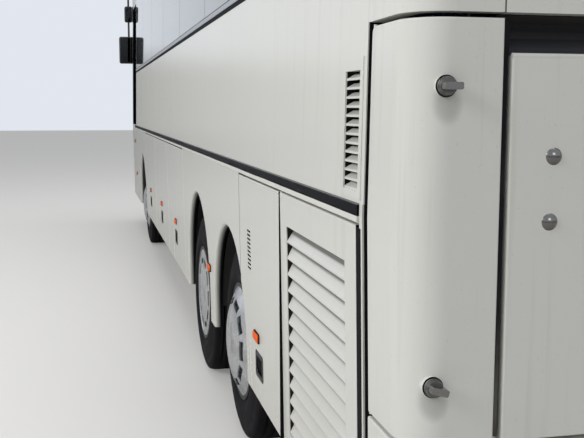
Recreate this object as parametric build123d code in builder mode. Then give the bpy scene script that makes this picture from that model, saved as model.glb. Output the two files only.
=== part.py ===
from build123d import *
import os

# A three-axle high-decker coach, in millimetres.
# X points forward, Y to the vehicle's left, Z up, and the floor is at Z = 0.

# Overall form
REAR_X = -5950.0         # rear face
FRONT_X = 5960.0         # middle of the bulged front face
HALF_WIDTH = 1250.0      # half the width at the belt
HEIGHT = 3650.0          # roof's middle line
SKIRT_Z = 445.0          # lower edge of the side panels
BELT_Z = 1420.0          # height of the greatest width
CANT_DROP = 350.0        # from the roof's middle line down to the top of the walls
LEAN = 0.018             # inward slope of the walls, above and below the belt
ROOF_DROP = 60.0         # from the roof's middle to its shoulder
SHOULDER_IN = 350.0      # from the belt's half-width in to the roof's shoulder
FRONT_BULGE = 170.0      # how far the front face bulges
FRONT_CORNER_R = 380.0
REAR_CORNER_R = 100.0
RAKE_Z = 1500.0          # the windscreen leans back above this height
RAKE_RUN = 420.0
REAR_RAKE_Z = 2300.0     # the rear leans forward above this height
REAR_RAKE_RUN = 120.0
CANT_Z = HEIGHT - CANT_DROP
OVERRUN = 50.0           # how far cutting and common solids run past the body
TOP_Z = HEIGHT + OVERRUN

# Thicknesses, gaps and edges
WALL = 45.0              # walls, flaps and doors
GLASS = 10.0             # bonded glazing
GAP = 8.0                # round what opens
SEAM = 4.0               # between fixed panels
FIT = 1.0                # between what seats together
BEHIND = 6.0             # round what passes through
EDGE_R = 5.0             # rounded outer edges of the panels
LIP_R = 16.0             # rounded edge of the wheel arches
REBATE = 30.0            # width of the seat behind the glazing
PROUD = 6.0              # how far lamps and strips stand out

# Heights
BELT_TOP = 1447.0
BELT_LOW = 1395.0
GLASS_LOW = 2180.0       # side windows
CORNER_Z = (920.0, 1885.0)
CAP_Z = 1897.0           # lower edge of the upper rear cap
ENGINE_FLAP_TOP = 1810.0
BUMPER_TOP = 908.0
FRONT_BUMPER_TOP = 900.0

# Stations along the sides
CORNER_X = -5680.0       # front edge of the corner panels
WALL_REAR_X = -5650.0
POST_X = (-5640.0, -5615.0)
ENGINE_DOOR_REAR = -5580.0
SERVICE_JOINT = -4639.0  # engine door and service flap
QUARTER_JOINT = -3744.0  # service flap and rear quarter
HOLD_JOINTS = (-1304.0, 0.0, 1422.0, 2864.0)
RIGHT_HOLD_JOINT = 1190.0
FRONT_JOINT = 4704.0
FRONT_SWEEP = ((4872.0, BELT_TOP), (4784.0, 970.0), (4514.0, SKIRT_Z - 15))     # left front joint, x and z
WALL_FRONT_X = 4650.0
MID_DOOR_X = (-1280.0, -470.0)
MID_DOOR_TOP = 2080.0
FRONT_DOOR_X = (4712.0, 5440.0)
FRONT_DOOR_TOP = 2640.0
WINDOW_JOINTS = (4630.0, 3210.0, 1783.0, 350.0, -1080.0, -2510.0, -3940.0, -5370.0)
WINDOW_SEAM = 8.0
PILLAR = 60.0
DRIVER_WINDOW = ((4720.0, 5400.0), (1460.0, 3000.0))
SCREEN_X = 5450.0
SCREEN_Z = (1250.0, CANT_Z - 100.0)
REAR_WINDOW = (950.0, (2350.0, 3150.0))                              # half-width, heights
DOOR_FRAME = 80.0        # frame round a door's pane
DOOR_KICK = 500.0        # solid foot of a door below its pane
HATCHES = (-2600.0, 1700.0)
HATCH = (760.0, 620.0, 24.0)         # length, width and rise of a roof hatch
CORNER_IN_Y = 1024.0     # inner edge of the corner panels
CORNER_PANEL_R = 20.0    # their rounded upper front corner
FLAP_SIDE_GAP = 20.0     # between the corner panels and the engine flap

# Hinges
BEAD_R = 6.0             # rolled top edge of the flaps, round their hinge line
BEAD_IN = 5.0            # hinge line inside the skin
PIN_R = 4.0              # pivot pins of the side-hinged doors
PIN_IN = 6.0             # pins in from the door's edge and from the skin
PIN_OUT = 4.0            # how far the pins stand out of the door's ends
PIN_L = 40.0

# Grilles: slats fall outwards from one opening edge to the other
GRILLE_INSET = (103.0, 105.0)        # from the engine door's rear and front edges
GRILLE_Z = (520.0, 1277.0)
GRILLE_SLAT = (58.0, 74.0, 34.0)     # pitch, height and depth of a slat
UPPER_PLATE = ((-5625.0, -5445.0), (1456.0, 1818.0))
UPPER_PLATE_PROUD = 2.5
UPPER_GRILLE = ((-5600.0, -5470.0), (1477.0, 1784.0))
UPPER_SLAT = (23.7, 17.5, 20.0)
SLOT_VENT = ((-4020.0, -3940.0), (990.0, 1164.0), 18.0, 9.0)         # stations, heights, pitch, width
SLAT_T = 6.0
MESH_T = 3.0

# Flap fittings: each marker and pull is on the flap's own centre
PULL = (124.0, 82.0, 14.0)           # length, height and depth of the recessed pull
PULL_Z = 662.0
MARKER = (120.0, 42.0)
MARKER_Z = 787.0
SERVICE_PULL = (-4175.0, 607.0)
SERVICE_MARKER = (-4135.0, 725.0)
POST_MARKER = (-2650.0, 765.0)
FRONT_MARKER = (4790.0, 784.0)
FRONT_INDICATOR = (5010.0, 1224.0)
RIGHT_INDICATOR = (5570.0, 1224.0)   # behind the front door
INDICATOR = (70.0, 40.0)

# Rear corner fittings
KNOBS = ((1159.5, 1736.5, 0.0), (1176.0, 1063.0, 15.0))              # y, z, lever's turn
KNOB_R = 22.5
KNOB_TAPER = 12.0        # degrees
KNOB_RING = (24.5, 3.0)              # radius and thickness of the rubber ring
KNOB_SEAT = 30.0         # depth of its seat, where the corner is already rounding
KNOB_BASE = 20.0
KNOB_PROUD = 42.0
LEVER = (42.0, 16.0)
LEVER_R = 4.0
LEVER_IN = 3.0           # lever's middle in from the knob's
PLUGS = ((896.0, 1581.0), (901.0, 1432.0))
PLUG = (20.0, 10.0)                  # radius and height of a domed plug
REAR_LAMP = ((860.0, 1120.0), (560.0, 700.0))
LAMP_GROOVES = (930.0, 1030.0)       # between a rear lamp's three lenses
LAMP_GROOVE = 4.0
HEADLAMP = ((700.0, 1060.0), (620.0, 800.0))

# Wheels: station, arch radius, arch centre height, outer tyre's middle plane, cover's dome
WHEELS = {
    "tag": (-3340.0, 530.0, 565.0, 1040.0, 72.0),
    "drive": (-2080.0, 552.0, 597.0, 1066.0, 18.0),
    "front": (3500.0, 560.0, 560.0, 1040.0, 72.0),
}
AXLE_Z = 500.0           # also the loaded radius of the tyres
TYRE_W = 290.0
TYRE_SHOULDER = 25.0
TYRE_BEAD_IN = 22.0      # the bead's step in from the sidewall
RIM_R = 286.0
RIM_T = 20.0
FLANGE_R = 299.0
TWIN_SPACING = 325.0
STUB_R = 45.0
HUB_R = 62.0
RUNNING = 0.05           # radial clearance of a running fit
DISC_T = 28.0
DISC_OUT = 30.0          # wheel disc out from the wheel plane
COVER_R = RIM_R - 9
COVER_T = 5.0
COVER_RIM = 10.0         # height of the cover's rolled edge
COVER_SLOTS = 10
COVER_SLOT = (34.0, 96.0, 206.0)     # across, along, radius of the ring of slots
KINGPIN_Y = 880.0
KINGPIN_R = 25.0
KINGPIN_L = 190.0
KNUCKLE_EYE = (50.0, 50.0, 65.0)     # radius, height and distance above and below the beam
KNUCKLE_WEB = (62.0, 30.0, 180.0)    # distance out from the kingpin, thickness, height
BEAM = (90.0, 110.0)                 # front axle beam's length and height
BEAM_EYE = (42.0, 70.0, 105.0)           # radius, height and inward reach of the beam's eye
AXLE_TUBE_R = {"drive": 80.0, "tag": 60.0}
BOWL_R = 210.0
SPRING_R = {"front": 70.0, "drive": 110.0, "tag": 110.0}
STUB_OUT = 40.0          # hub stubs past the outer wheel plane
HOUSING_R = {"tag": 538.0, "drive": 560.0, "front": 600.0}
HOUSING_T = 6.0
HOUSING_Y = 560.0

# Frame and floors
HOLD_FLOOR_Z = 450.0
HOLD_FLOOR_T = 30.0
SALOON_Z = 1380.0
FLOOR_T = 40.0
BULKHEAD_T = 40.0
SHORT_BULKHEADS = (-4300.0, 4360.0)
RAIL_Y = 400.0
RAIL = (80.0, 190.0)     # width and height
RAIL_Z = 800.0
RAIL_X = (-5700.0, 5400.0)
CROSSMEMBERS = (-4130.0, -2710.0, -1450.0, 710.0, 2700.0, 4290.0, 5260.0)
CROSSMEMBER = (80.0, 110.0)          # length and height
JACK_X = (-4000.0, 4150.0)
JACK = (120.0, 20.0)     # width and thickness of the jacking pads
DRIVER_FLOOR_Z = 1030.0
FLOOR_EDGE = 20.0        # room between the floor and the doors that swing beside it
FLOOR_FRONT_X = 4600.0   # step between the saloon's and the driver's floor
DRIVER_FLOOR_X = (FLOOR_FRONT_X + 5, 5750.0)
DRIVER_FLOOR_Y = -450.0
STAIR_Y = -500.0
ENGINE = ((-5700.0, -4450.0), (-330.0, 330.0), (600.0, 1300.0))

# Cabin
SEAT_PITCH = 790.0
SEAT_COUNT = 11
SEAT_START_X = 3900.0
PAIR_Y = (260.0, 1130.0)             # a pair of seats, from the aisle to the wall
SEAT_GAP = 12.0
SEAT_WIDTH = (PAIR_Y[1] - PAIR_Y[0] - SEAT_GAP) / 2
DRIVER_SEAT = (4760.0, 420.0)        # station and right-hand edge
STAIR_CLEAR = (600.0, 260.0)         # no seats this far behind and ahead of the mid door
WHEEL_TILT = 25.0
DASH_TOP = 1400.0
DASH_X = (5300.0, 5750.0)
DASH_Y = -300.0
STEERING_AT = (DASH_X[0] + 30, 660.0, DASH_TOP + 240)
STEERING_R = 220.0
STEERING_GRIP_R = 14.0
GRIP_SIDES = 12
SPOKE = (26.0, 14.0)     # width and thickness
COLUMN_R = 22.0
COLUMN = STEERING_AT[2] - DASH_TOP + 10

# Mirrors: arms hang ahead of the front corners
MIRROR_X = (5880.0, 6000.0)
MIRROR_Y = (1200.0, 1405.0)
MIRROR_Z = (2330.0, 2720.0)
HEAD_Y = (1205.0, 1320.0)
HEAD_RISE = (210.0, 440.0)           # upper mirror above the lower one
ARM_R = 14.0
ARM_RISE = 700.0
ARM_X = 5500.0
MIRROR_R = 28.0

# Wipers
WIPER_Z = (1190.0, 1300.0)
WIPERS = ((-950.0, -150.0), (150.0, 950.0))
WIPER_ARM = 24.0
BLADE = (6.0, 16.0, 18.0)            # stand-off, outer face and height

os.makedirs("parts", exist_ok=True)


def skin_y(z):
    """Half-width of the outer skin at a height."""
    return HALF_WIDTH - LEAN * abs(z - BELT_Z)


def section(inset, bottom):
    """Cross-section of the body: walls that lean in from the belt, crowned roof."""
    shoulder = (HALF_WIDTH - SHOULDER_IN - inset, HEIGHT - ROOF_DROP - inset)
    cant = (skin_y(CANT_Z) - inset, CANT_Z)
    crown = (shoulder[0] / 2, HEIGHT - ROOF_DROP / 4 - inset)
    with BuildSketch(Plane.YZ.offset(REAR_X - OVERRUN)) as sk:
        with BuildLine():
            Polyline((0, bottom), (skin_y(bottom) - inset, bottom), (HALF_WIDTH - inset, BELT_Z), cant)
            TangentArc(cant, shoulder, tangent=(-LEAN, 1))
            ThreePointArc(shoulder, crown, (0, HEIGHT - inset))
            Line((0, HEIGHT - inset), (0, bottom))
        make_face()
        mirror(about=Plane.YZ)
    return sk.sketch


def plan(inset):
    """Plan of the body: small rear corners, bulged front with large ones."""
    front = FRONT_X - FRONT_BULGE - inset
    rear = REAR_X + inset
    half = HALF_WIDTH - inset
    with BuildSketch() as sk:
        with BuildLine():
            Polyline((front, -half), (rear, -half), (rear, half), (front, half))
            ThreePointArc((front, half), (FRONT_X - inset, 0), (front, -half))
        make_face()
        fillet(sk.vertices().group_by(Axis.X)[-1], FRONT_CORNER_R - inset)
    return sk.sketch


def rear_corner(inset, side):
    """Cutters that round a rear corner: they follow the wall's lean and the raked rear."""
    radius = REAR_CORNER_R - inset
    rear = REAR_X + inset
    half = HALF_WIDTH - inset
    raked_half = half - LEAN * (REAR_RAKE_Z - BELT_Z)
    rake = REAR_RAKE_RUN / (TOP_Z - REAR_RAKE_Z)
    runs = (
        (BELT_Z, half, BELT_Z, (0, -side * LEAN, -1)),
        (BELT_Z, half, REAR_RAKE_Z - BELT_Z, (0, -side * LEAN, 1)),
        (REAR_RAKE_Z, raked_half, TOP_Z - REAR_RAKE_Z, (rake, -side * LEAN, 1)),
    )
    cutters = []
    for z, y, rise, way in runs:
        with BuildSketch(Plane.XY.offset(z)) as corner:
            with Locations((rear + (radius - OVERRUN) / 2, side * (y - (radius - OVERRUN) / 2))):
                Rectangle(radius + OVERRUN, radius + OVERRUN)
            with Locations((rear + radius, side * (y - radius))):
                Circle(radius, mode=Mode.SUBTRACT)
        cutters.append(extrude(corner.sketch, amount=rise * Vector(*way).length, dir=way))
    return cutters


def side_view(inset, bottom):
    """Side outline: raked windscreen, slightly raked rear."""
    rear = REAR_X + inset
    front = FRONT_X - inset
    with BuildSketch(Plane.XZ) as sk:
        with BuildLine():
            Polyline(
                (rear, bottom),
                (rear, REAR_RAKE_Z),
                (rear + REAR_RAKE_RUN, TOP_Z),
                (front - RAKE_RUN, TOP_Z),
                (front, RAKE_Z),
                (front, bottom),
                close=True,
            )
        make_face()
    return sk.sketch


def envelope(inset, bottom=SKIRT_Z):
    """The body's outer form as one solid, moved inwards by inset."""
    with BuildPart() as form:
        extrude(section(inset, bottom), amount=FRONT_X - REAR_X + 2 * OVERRUN)
        extrude(plan(inset), amount=TOP_Z, mode=Mode.INTERSECT)
        extrude(side_view(inset, bottom - OVERRUN), amount=HALF_WIDTH + OVERRUN, both=True, mode=Mode.INTERSECT)
        for side in (1, -1):
            for cutter in rear_corner(inset, side):
                add(cutter, mode=Mode.SUBTRACT)
    return form.part


def box(x, y, z):
    """Box between two values on each axis, for cutting and adding."""
    middle = Pos((x[0] + x[1]) / 2, (y[0] + y[1]) / 2, (z[0] + z[1]) / 2)
    return middle * Box(x[1] - x[0], y[1] - y[0], z[1] - z[0], mode=Mode.PRIVATE)


def outer(side, inner=HALF_WIDTH / 2):
    """Y range of one side's wall: side is 1 on the left and -1 on the right."""
    reach = HALF_WIDTH + 150
    return (inner, reach) if side > 0 else (-reach, -inner)


def mirrored(side, low, high):
    """Y range between two distances from the middle, on one side."""
    return (low, high) if side > 0 else (-high, -low)


ACROSS = (-HALF_WIDTH - 150, HALF_WIDTH + 150)
BEHIND_REAR = REAR_X - 100
AHEAD = FRONT_X + 100
ABOVE = HEIGHT + 100


def prism(outline, x):
    """Solid between two stations from an outline of (y, z) points."""
    with BuildSketch(Plane.YZ.offset(x[0])) as sk:
        with BuildLine():
            Polyline(*outline, close=True)
        make_face()
    return extrude(sk.sketch, amount=x[1] - x[0], mode=Mode.PRIVATE)


def side_prism(outline, side):
    """Solid through one side's wall from an outline of (x, z) points."""
    with BuildSketch(Plane.XZ) as sk:
        with BuildLine():
            Polyline(*outline, close=True)
        make_face()
    return extrude(sk.sketch, amount=-side * (HALF_WIDTH + 150), mode=Mode.PRIVATE)


def arch_cutter(station, radius, centre_z, side):
    """Half disc with straight sides down past the skirt."""
    with BuildSketch(Plane.XZ) as sk:
        with Locations((station, centre_z)):
            Circle(radius)
        with Locations((station, centre_z - radius / 2)):
            Rectangle(2 * radius, radius)
    return extrude(sk.sketch, amount=-side * (HALF_WIDTH + 150), mode=Mode.PRIVATE)


def slats(x, z, slat, side):
    """Louvre slats across an opening, from its inner face down to the skin."""
    pitch, height, depth = slat
    blades = []
    for i in range(round((z[1] - z[0]) / pitch)):
        lip = z[1] - (i + 1) * pitch
        y = skin_y(lip) - 2
        outline = [
            (y, lip),
            (y, lip + SLAT_T),
            (y - depth, min(lip + height, z[1] + FIT)),
            (y - depth, min(lip + height, z[1] + FIT) - SLAT_T),
        ]
        blades.append(prism([(side * a, b) for a, b in outline], (x[0] - FIT, x[1] + FIT)))
    return blades


def layer(x, z, out, side):
    """Layer of one side's wall, between two distances out from the skin."""
    outline = [(skin_y(z[0]) + out[0], z[0]), (skin_y(z[1]) + out[0], z[1])]
    outline += [(skin_y(z[1]) + out[1], z[1]), (skin_y(z[0]) + out[1], z[0])]
    return prism([(side * a, b) for a, b in outline], x)


def backing(x, z, side):
    """Sheet that closes a grille's opening at the wall's inner face."""
    return layer((x[0] - FIT, x[1] + FIT), (z[0] - FIT, z[1] + FIT), (-WALL, MESH_T - WALL), side)


def boss(x, z, size, side, proud=PROUD):
    """Rounded plate that stands out of the skin round a point."""
    plane = Plane((x, side * (skin_y(z) - 20), z), x_dir=(side, 0, 0), z_dir=(0, side, 0))
    with BuildSketch(plane) as sk:
        RectangleRounded(*size, size[1] / 3)
    plate = extrude(sk.sketch, amount=20 + proud, mode=Mode.PRIVATE)
    return plate


def pull(x, z, side):
    """Cutter for a recessed pull, and the paddle that fills its upper part."""
    length, height, depth = PULL
    y = skin_y(z)
    plane = Plane((x, side * (y + 20), z), x_dir=(side, 0, 0), z_dir=(0, side, 0))
    with BuildSketch(plane) as sk:
        RectangleRounded(length, height, height / 4)
    recess = extrude(sk.sketch, amount=-20 - depth, mode=Mode.PRIVATE)
    plane = Plane((x, side * (y - depth - 5), z + height / 8), x_dir=(side, 0, 0), z_dir=(0, side, 0))
    with BuildSketch(plane) as sk:
        RectangleRounded(length - 16, height * 0.75, height / 6)
    paddle = extrude(sk.sketch, amount=depth + 3, mode=Mode.PRIVATE)
    return recess, paddle


def in_plane(edge, axis, value):
    """Whether an edge lies in a cutting plane."""
    bounds = edge.bounding_box()
    return abs(getattr(bounds.min, axis) - value) < 0.01 and abs(getattr(bounds.max, axis) - value) < 0.01


def rim_edges(panel, x=(), y=(), z=()):
    """Edges of a panel on the outer skin that its cutting planes made."""
    planes = [("X", v) for v in x] + [("Y", v) for v in y] + [("Z", v) for v in z]
    cut = [edge for edge in panel.edges() if any(in_plane(edge, *plane) for plane in planes)]
    return ShapeList(e for e in cut if Vertex(*(e @ 0.5)).distance_to(SKIN) < 0.05)


def arch_edges(panel, names):
    """Edges of a panel on the outer skin round the wheel arches."""
    edges = []
    for edge in panel.edges():
        middle = edge @ 0.5
        for name in names:
            station, radius, centre_z = WHEELS[name][:3]
            reach = ((middle.X - station) ** 2 + (middle.Z - centre_z) ** 2) ** 0.5
            if abs(reach - radius) < 0.5 and Vertex(*middle).distance_to(SKIN) < 0.05:
                edges.append(edge)
    return edges


def save(piece, name):
    """Label a finished piece and write it out."""
    piece.part.label = name
    export_step(piece.part, f"parts/{name}.step")


OUTER = envelope(0)
SKIN = OUTER.shell()
BEHIND_GLASS = envelope(GLASS)
INNER = envelope(WALL, SKIRT_Z - 200)
SHELL = OUTER - INNER
PANE = OUTER - BEHIND_GLASS
RAISED = envelope(-PROUD) - INNER
ARCHES = {(name, side): arch_cutter(*WHEELS[name][:3], side) for name in WHEELS for side in (1, -1)}
SIDES = ((1, "left"), (-1, "right"))

# Side walls: windows, rear louvre, mid door's opening, and the post ahead of the corner panel
GLASS_Z = (GLASS_LOW, CANT_Z - 60)
FLAP_Z = (SKIRT_Z, BELT_LOW - GAP)
WINDOW_X = (WINDOW_JOINTS[-1], WINDOW_JOINTS[0])
for side, word in SIDES:
    with BuildPart() as side_wall:
        add(SHELL & box((WALL_REAR_X, WALL_FRONT_X), outer(side), (BELT_TOP, CANT_Z)))
        add(box(WINDOW_X, outer(side), GLASS_Z) - BEHIND_GLASS, mode=Mode.SUBTRACT)
        for x1, x0 in zip(WINDOW_JOINTS, WINDOW_JOINTS[1:]):
            opening = ((x0 + PILLAR / 2, x1 - PILLAR / 2), (GLASS_Z[0] + REBATE, GLASS_Z[1] - REBATE))
            add(box(opening[0], outer(side), opening[1]), mode=Mode.SUBTRACT)
        if side < 0:
            door_x = (MID_DOOR_X[0] - GAP, MID_DOOR_X[1] + GAP)
            add(box(door_x, outer(side), (BELT_TOP, MID_DOOR_TOP + GAP)), mode=Mode.SUBTRACT)
        add(layer(*UPPER_PLATE, (-WALL / 2, UPPER_PLATE_PROUD), side))
        add(box(UPPER_GRILLE[0], outer(side), UPPER_GRILLE[1]), mode=Mode.SUBTRACT)
        for blade in slats(*UPPER_GRILLE, UPPER_SLAT, side):
            add(blade)
        add(backing(*UPPER_GRILLE, side))
        add(SHELL & box(POST_X, outer(side), (SKIRT_Z, BELT_TOP)))
    save(side_wall, f"side_wall_{word}")

# Bonded side windows, the driver's window and the rear window
with BuildPart() as glazing:
    for side, word in SIDES:
        for x1, x0 in zip(WINDOW_JOINTS, WINDOW_JOINTS[1:]):
            pane_x = (x0 + WINDOW_SEAM / 2, x1 - WINDOW_SEAM / 2)
            add(PANE & box(pane_x, outer(side), (GLASS_Z[0] + FIT, GLASS_Z[1] - FIT)))
    add(PANE & box(DRIVER_WINDOW[0], outer(1), DRIVER_WINDOW[1]))
    add(PANE & box((BEHIND_REAR, WALL_REAR_X), (-REAR_WINDOW[0], REAR_WINDOW[0]), REAR_WINDOW[1]))
save(glazing, "glazing")

# Roof with two low hatches
with BuildPart() as roof:
    add(SHELL & box((WALL_REAR_X, WALL_FRONT_X), ACROSS, (CANT_Z, ABOVE)))
    for x in HATCHES:
        with BuildSketch(Plane.XY.offset(HEIGHT - WALL / 2)) as hatch:
            with Locations((x, 0)):
                RectangleRounded(HATCH[0], HATCH[1], 80)
        extrude(amount=WALL / 2 + HATCH[2])
    fillet(roof.faces().filter_by(Axis.Z).group_by(Axis.Z)[-1].edges(), HATCH[2] / 3)
save(roof, "roof")

# Fixed lower side panels round the wheels
with BuildPart() as rear_quarters:
    panel_x = (QUARTER_JOINT + GAP / 2, HOLD_JOINTS[0] - GAP / 2)
    for side, word in SIDES:
        add(SHELL & box(panel_x, outer(side), (SKIRT_Z, BELT_LOW)))
        for name in ("tag", "drive"):
            add(ARCHES[name, side], mode=Mode.SUBTRACT)
    fillet(arch_edges(rear_quarters.part, ("tag", "drive")), LIP_R)
    for side, word in SIDES:
        add(boss(*POST_MARKER, MARKER, side))
save(rear_quarters, "rear_quarters")

SWEEP_BACK = [(x - SEAM, z) for x, z in FRONT_SWEEP]
AHEAD_OF_SEAM = SWEEP_BACK + [(AHEAD, SWEEP_BACK[-1][1]), (AHEAD, SWEEP_BACK[0][1])]
BEHIND_SWEEP = list(FRONT_SWEEP) + [(0, FRONT_SWEEP[-1][1]), (0, FRONT_SWEEP[0][1])]
with BuildPart() as front_quarters:
    left_x = (HOLD_JOINTS[3] + GAP / 2, FRONT_SWEEP[0][0])
    right_x = (HOLD_JOINTS[3] + GAP / 2, FRONT_JOINT - SEAM / 2)
    add(SHELL & box(left_x, outer(1), (SKIRT_Z, BELT_LOW)))
    add(side_prism(AHEAD_OF_SEAM, 1), mode=Mode.SUBTRACT)
    add(SHELL & box(right_x, outer(-1), (SKIRT_Z, BELT_LOW)))
    for side, word in SIDES:
        add(ARCHES["front", side], mode=Mode.SUBTRACT)
    fillet(arch_edges(front_quarters.part, ("front",)), LIP_R)
save(front_quarters, "front_quarters")

# Top-hinged flaps: luggage holds, and the service flap behind the tag axle
left_holds = list(zip(HOLD_JOINTS, HOLD_JOINTS[1:]))
right_holds = [(MID_DOOR_X[1] + GAP / 2, RIGHT_HOLD_JOINT), (RIGHT_HOLD_JOINT, HOLD_JOINTS[3])]
FLAPS = [(f"luggage_flap_left_{i + 1}", 1, *joints) for i, joints in enumerate(left_holds)]
FLAPS += [(f"luggage_flap_right_{i + 1}", -1, *joints) for i, joints in enumerate(right_holds)]
FLAPS += [(f"service_flap_{word}", side, SERVICE_JOINT, QUARTER_JOINT) for side, word in SIDES]
BEAD_Z = FLAP_Z[1] - BEAD_R
BEAD_Y = skin_y(BEAD_Z) - BEAD_IN
for name, side, joint0, joint1 in FLAPS:
    service = name.startswith("service")
    x0 = joint0 + GAP / 2
    x1 = joint1 - GAP / 2
    middle = (x0 + x1) / 2
    with BuildPart() as flap:
        add(SHELL & box((x0, x1), outer(side), (SKIRT_Z, BEAD_Z)))
        fillet(rim_edges(flap.part, x=(x0, x1), z=(SKIRT_Z,)), EDGE_R)
        with Locations(Location((middle, side * BEAD_Y, BEAD_Z), (0, 90, 0))):
            Cylinder(BEAD_R, x1 - x0)
        if service:
            add(ARCHES["tag", side], mode=Mode.SUBTRACT)
        pull_at = SERVICE_PULL if service else (middle, PULL_Z)
        recess, paddle = pull(*pull_at, side)
        add(recess, mode=Mode.SUBTRACT)
        add(paddle)
        marker_at = SERVICE_MARKER if service else (middle, MARKER_Z)
        add(boss(*marker_at, MARKER, side))
        if service:
            vent_x, vent_z, pitch, width = SLOT_VENT
            for i in range(int((vent_z[1] - vent_z[0]) / pitch) + 1):
                slot_z = (vent_z[0] + i * pitch, vent_z[0] + i * pitch + width)
                add(box(vent_x, outer(side), slot_z), mode=Mode.SUBTRACT)
    save(flap, name)

# Side-hinged engine doors: a frame with overlapping slats and a mesh sheet behind them
for side, word in SIDES:
    edge_x = SERVICE_JOINT - GAP / 2
    grille_x = (ENGINE_DOOR_REAR + GRILLE_INSET[0], edge_x - GRILLE_INSET[1])
    hinge_x = edge_x - PIN_IN
    with BuildPart() as engine_door:
        add(SHELL & box((ENGINE_DOOR_REAR, edge_x), outer(side), FLAP_Z))
        fillet(rim_edges(engine_door.part, x=(ENGINE_DOOR_REAR, edge_x), z=FLAP_Z), EDGE_R)
        add(box(grille_x, outer(side), GRILLE_Z), mode=Mode.SUBTRACT)
        for blade in slats(grille_x, GRILLE_Z, GRILLE_SLAT, side):
            add(blade)
        add(backing(grille_x, GRILLE_Z, side))
        for z in (FLAP_Z[0] - PIN_OUT + PIN_L / 2, FLAP_Z[1] + PIN_OUT - PIN_L / 2):
            with Locations(Plane((hinge_x, side * (skin_y(z) - PIN_IN), z), z_dir=(0, side * LEAN, 1))):
                Cylinder(PIN_R, PIN_L)
    save(engine_door, f"engine_door_{word}")

# Belt strip of dark rubber, standing proud of the panels
with BuildPart() as belt_trims:
    for side, word in SIDES:
        runs = [(POST_X[1] + FIT, FRONT_SWEEP[0][0] - 4 * SEAM)]
        if side < 0:
            runs = [(POST_X[1] + FIT, MID_DOOR_X[0] - GAP), (MID_DOOR_X[1] + GAP, FRONT_JOINT - SEAM / 2)]
        for run in runs:
            strip_y = mirrored(side, HALF_WIDTH - WALL, HALF_WIDTH + PROUD)
            add(box(run, strip_y, (BELT_LOW + FIT, BELT_TOP - FIT)))
    lips = belt_trims.edges().filter_by(Axis.X)
    fillet([e for e in lips if abs((e @ 0.5).Y) > HALF_WIDTH], PROUD * 0.9)
save(belt_trims, "belt_trims")

# Hinged rear corner panels with their two turning knobs
CORNER_PIN_Y = skin_y(CORNER_Z[0]) - PIN_IN
for side, word in SIDES:
    with BuildPart() as corner_panel:
        add(SHELL & box((BEHIND_REAR, CORNER_X), mirrored(side, CORNER_IN_Y, HALF_WIDTH + 50), CORNER_Z))
        fillet(corner_panel.edges().filter_by(Axis.Y).group_by(Axis.X)[-1].sort_by(Axis.Z)[-1], CORNER_PANEL_R)
        fillet(rim_edges(corner_panel.part, x=(CORNER_X,), y=(side * CORNER_IN_Y,), z=CORNER_Z), EDGE_R)
        for y, z, turn in KNOBS:
            with BuildSketch(Plane.YZ.offset(REAR_X + KNOB_SEAT)) as ring:
                with Locations((side * y, z)):
                    Circle(KNOB_RING[0])
            extrude(amount=-KNOB_SEAT - KNOB_RING[1])
            with BuildSketch(Plane.YZ.offset(REAR_X - KNOB_RING[1])) as base:
                with Locations((side * y, z)):
                    Circle(KNOB_R)
            extrude(amount=KNOB_RING[1] - KNOB_BASE, taper=KNOB_TAPER)
            lever_at = Location((side * (y - LEVER_IN), z), side * turn)
            with BuildSketch(Plane.YZ.offset(REAR_X - KNOB_RING[1])) as lever:
                with Locations(lever_at):
                    RectangleRounded(*LEVER, LEVER_R)
            extrude(amount=KNOB_RING[1] - KNOB_PROUD)
        for z in (CORNER_Z[0] - PIN_OUT + PIN_L / 2, CORNER_Z[1] + PIN_OUT - PIN_L / 2):
            with Locations((CORNER_X - PIN_IN, side * CORNER_PIN_Y, z)):
                Cylinder(PIN_R, PIN_L)
    save(corner_panel, f"corner_panel_{word}")

# Engine flap across the rear, hinged along its rolled top edge
FLAP_HALF = CORNER_IN_Y - FLAP_SIDE_GAP
with BuildPart() as engine_flap:
    flap_z = (CORNER_Z[0], ENGINE_FLAP_TOP - BEAD_R)
    add(SHELL & box((BEHIND_REAR, CORNER_X), (-FLAP_HALF, FLAP_HALF), flap_z))
    fillet(rim_edges(engine_flap.part, y=(-FLAP_HALF, FLAP_HALF), z=(CORNER_Z[0],)), EDGE_R)
    with Locations(Location((REAR_X + BEAD_IN, 0, flap_z[1]), (90, 0, 0))):
        Cylinder(BEAD_R, 2 * FLAP_HALF)
    plug_r = (PLUG[0] ** 2 + PLUG[1] ** 2) / (2 * PLUG[1])
    for y, z in PLUGS:
        with Locations(*[(REAR_X + plug_r - PLUG[1], side * y, z) for side, word in SIDES]):
            Sphere(plug_r)
save(engine_flap, "engine_flap")

# Upper rear cap with its window's rebate
with BuildPart() as rear_cap:
    width, heights = REAR_WINDOW
    add(SHELL & box((BEHIND_REAR, WALL_REAR_X - FIT), ACROSS, (CAP_Z, ABOVE)))
    seat_z = (heights[0] - FIT, heights[1] + FIT)
    add(box((BEHIND_REAR, CORNER_X), (-width - FIT, width + FIT), seat_z) - BEHIND_GLASS, mode=Mode.SUBTRACT)
    inner_z = (heights[0] + REBATE, heights[1] - REBATE)
    add(box((BEHIND_REAR, CORNER_X), (REBATE - width, width - REBATE), inner_z), mode=Mode.SUBTRACT)
save(rear_cap, "rear_cap")

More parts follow.
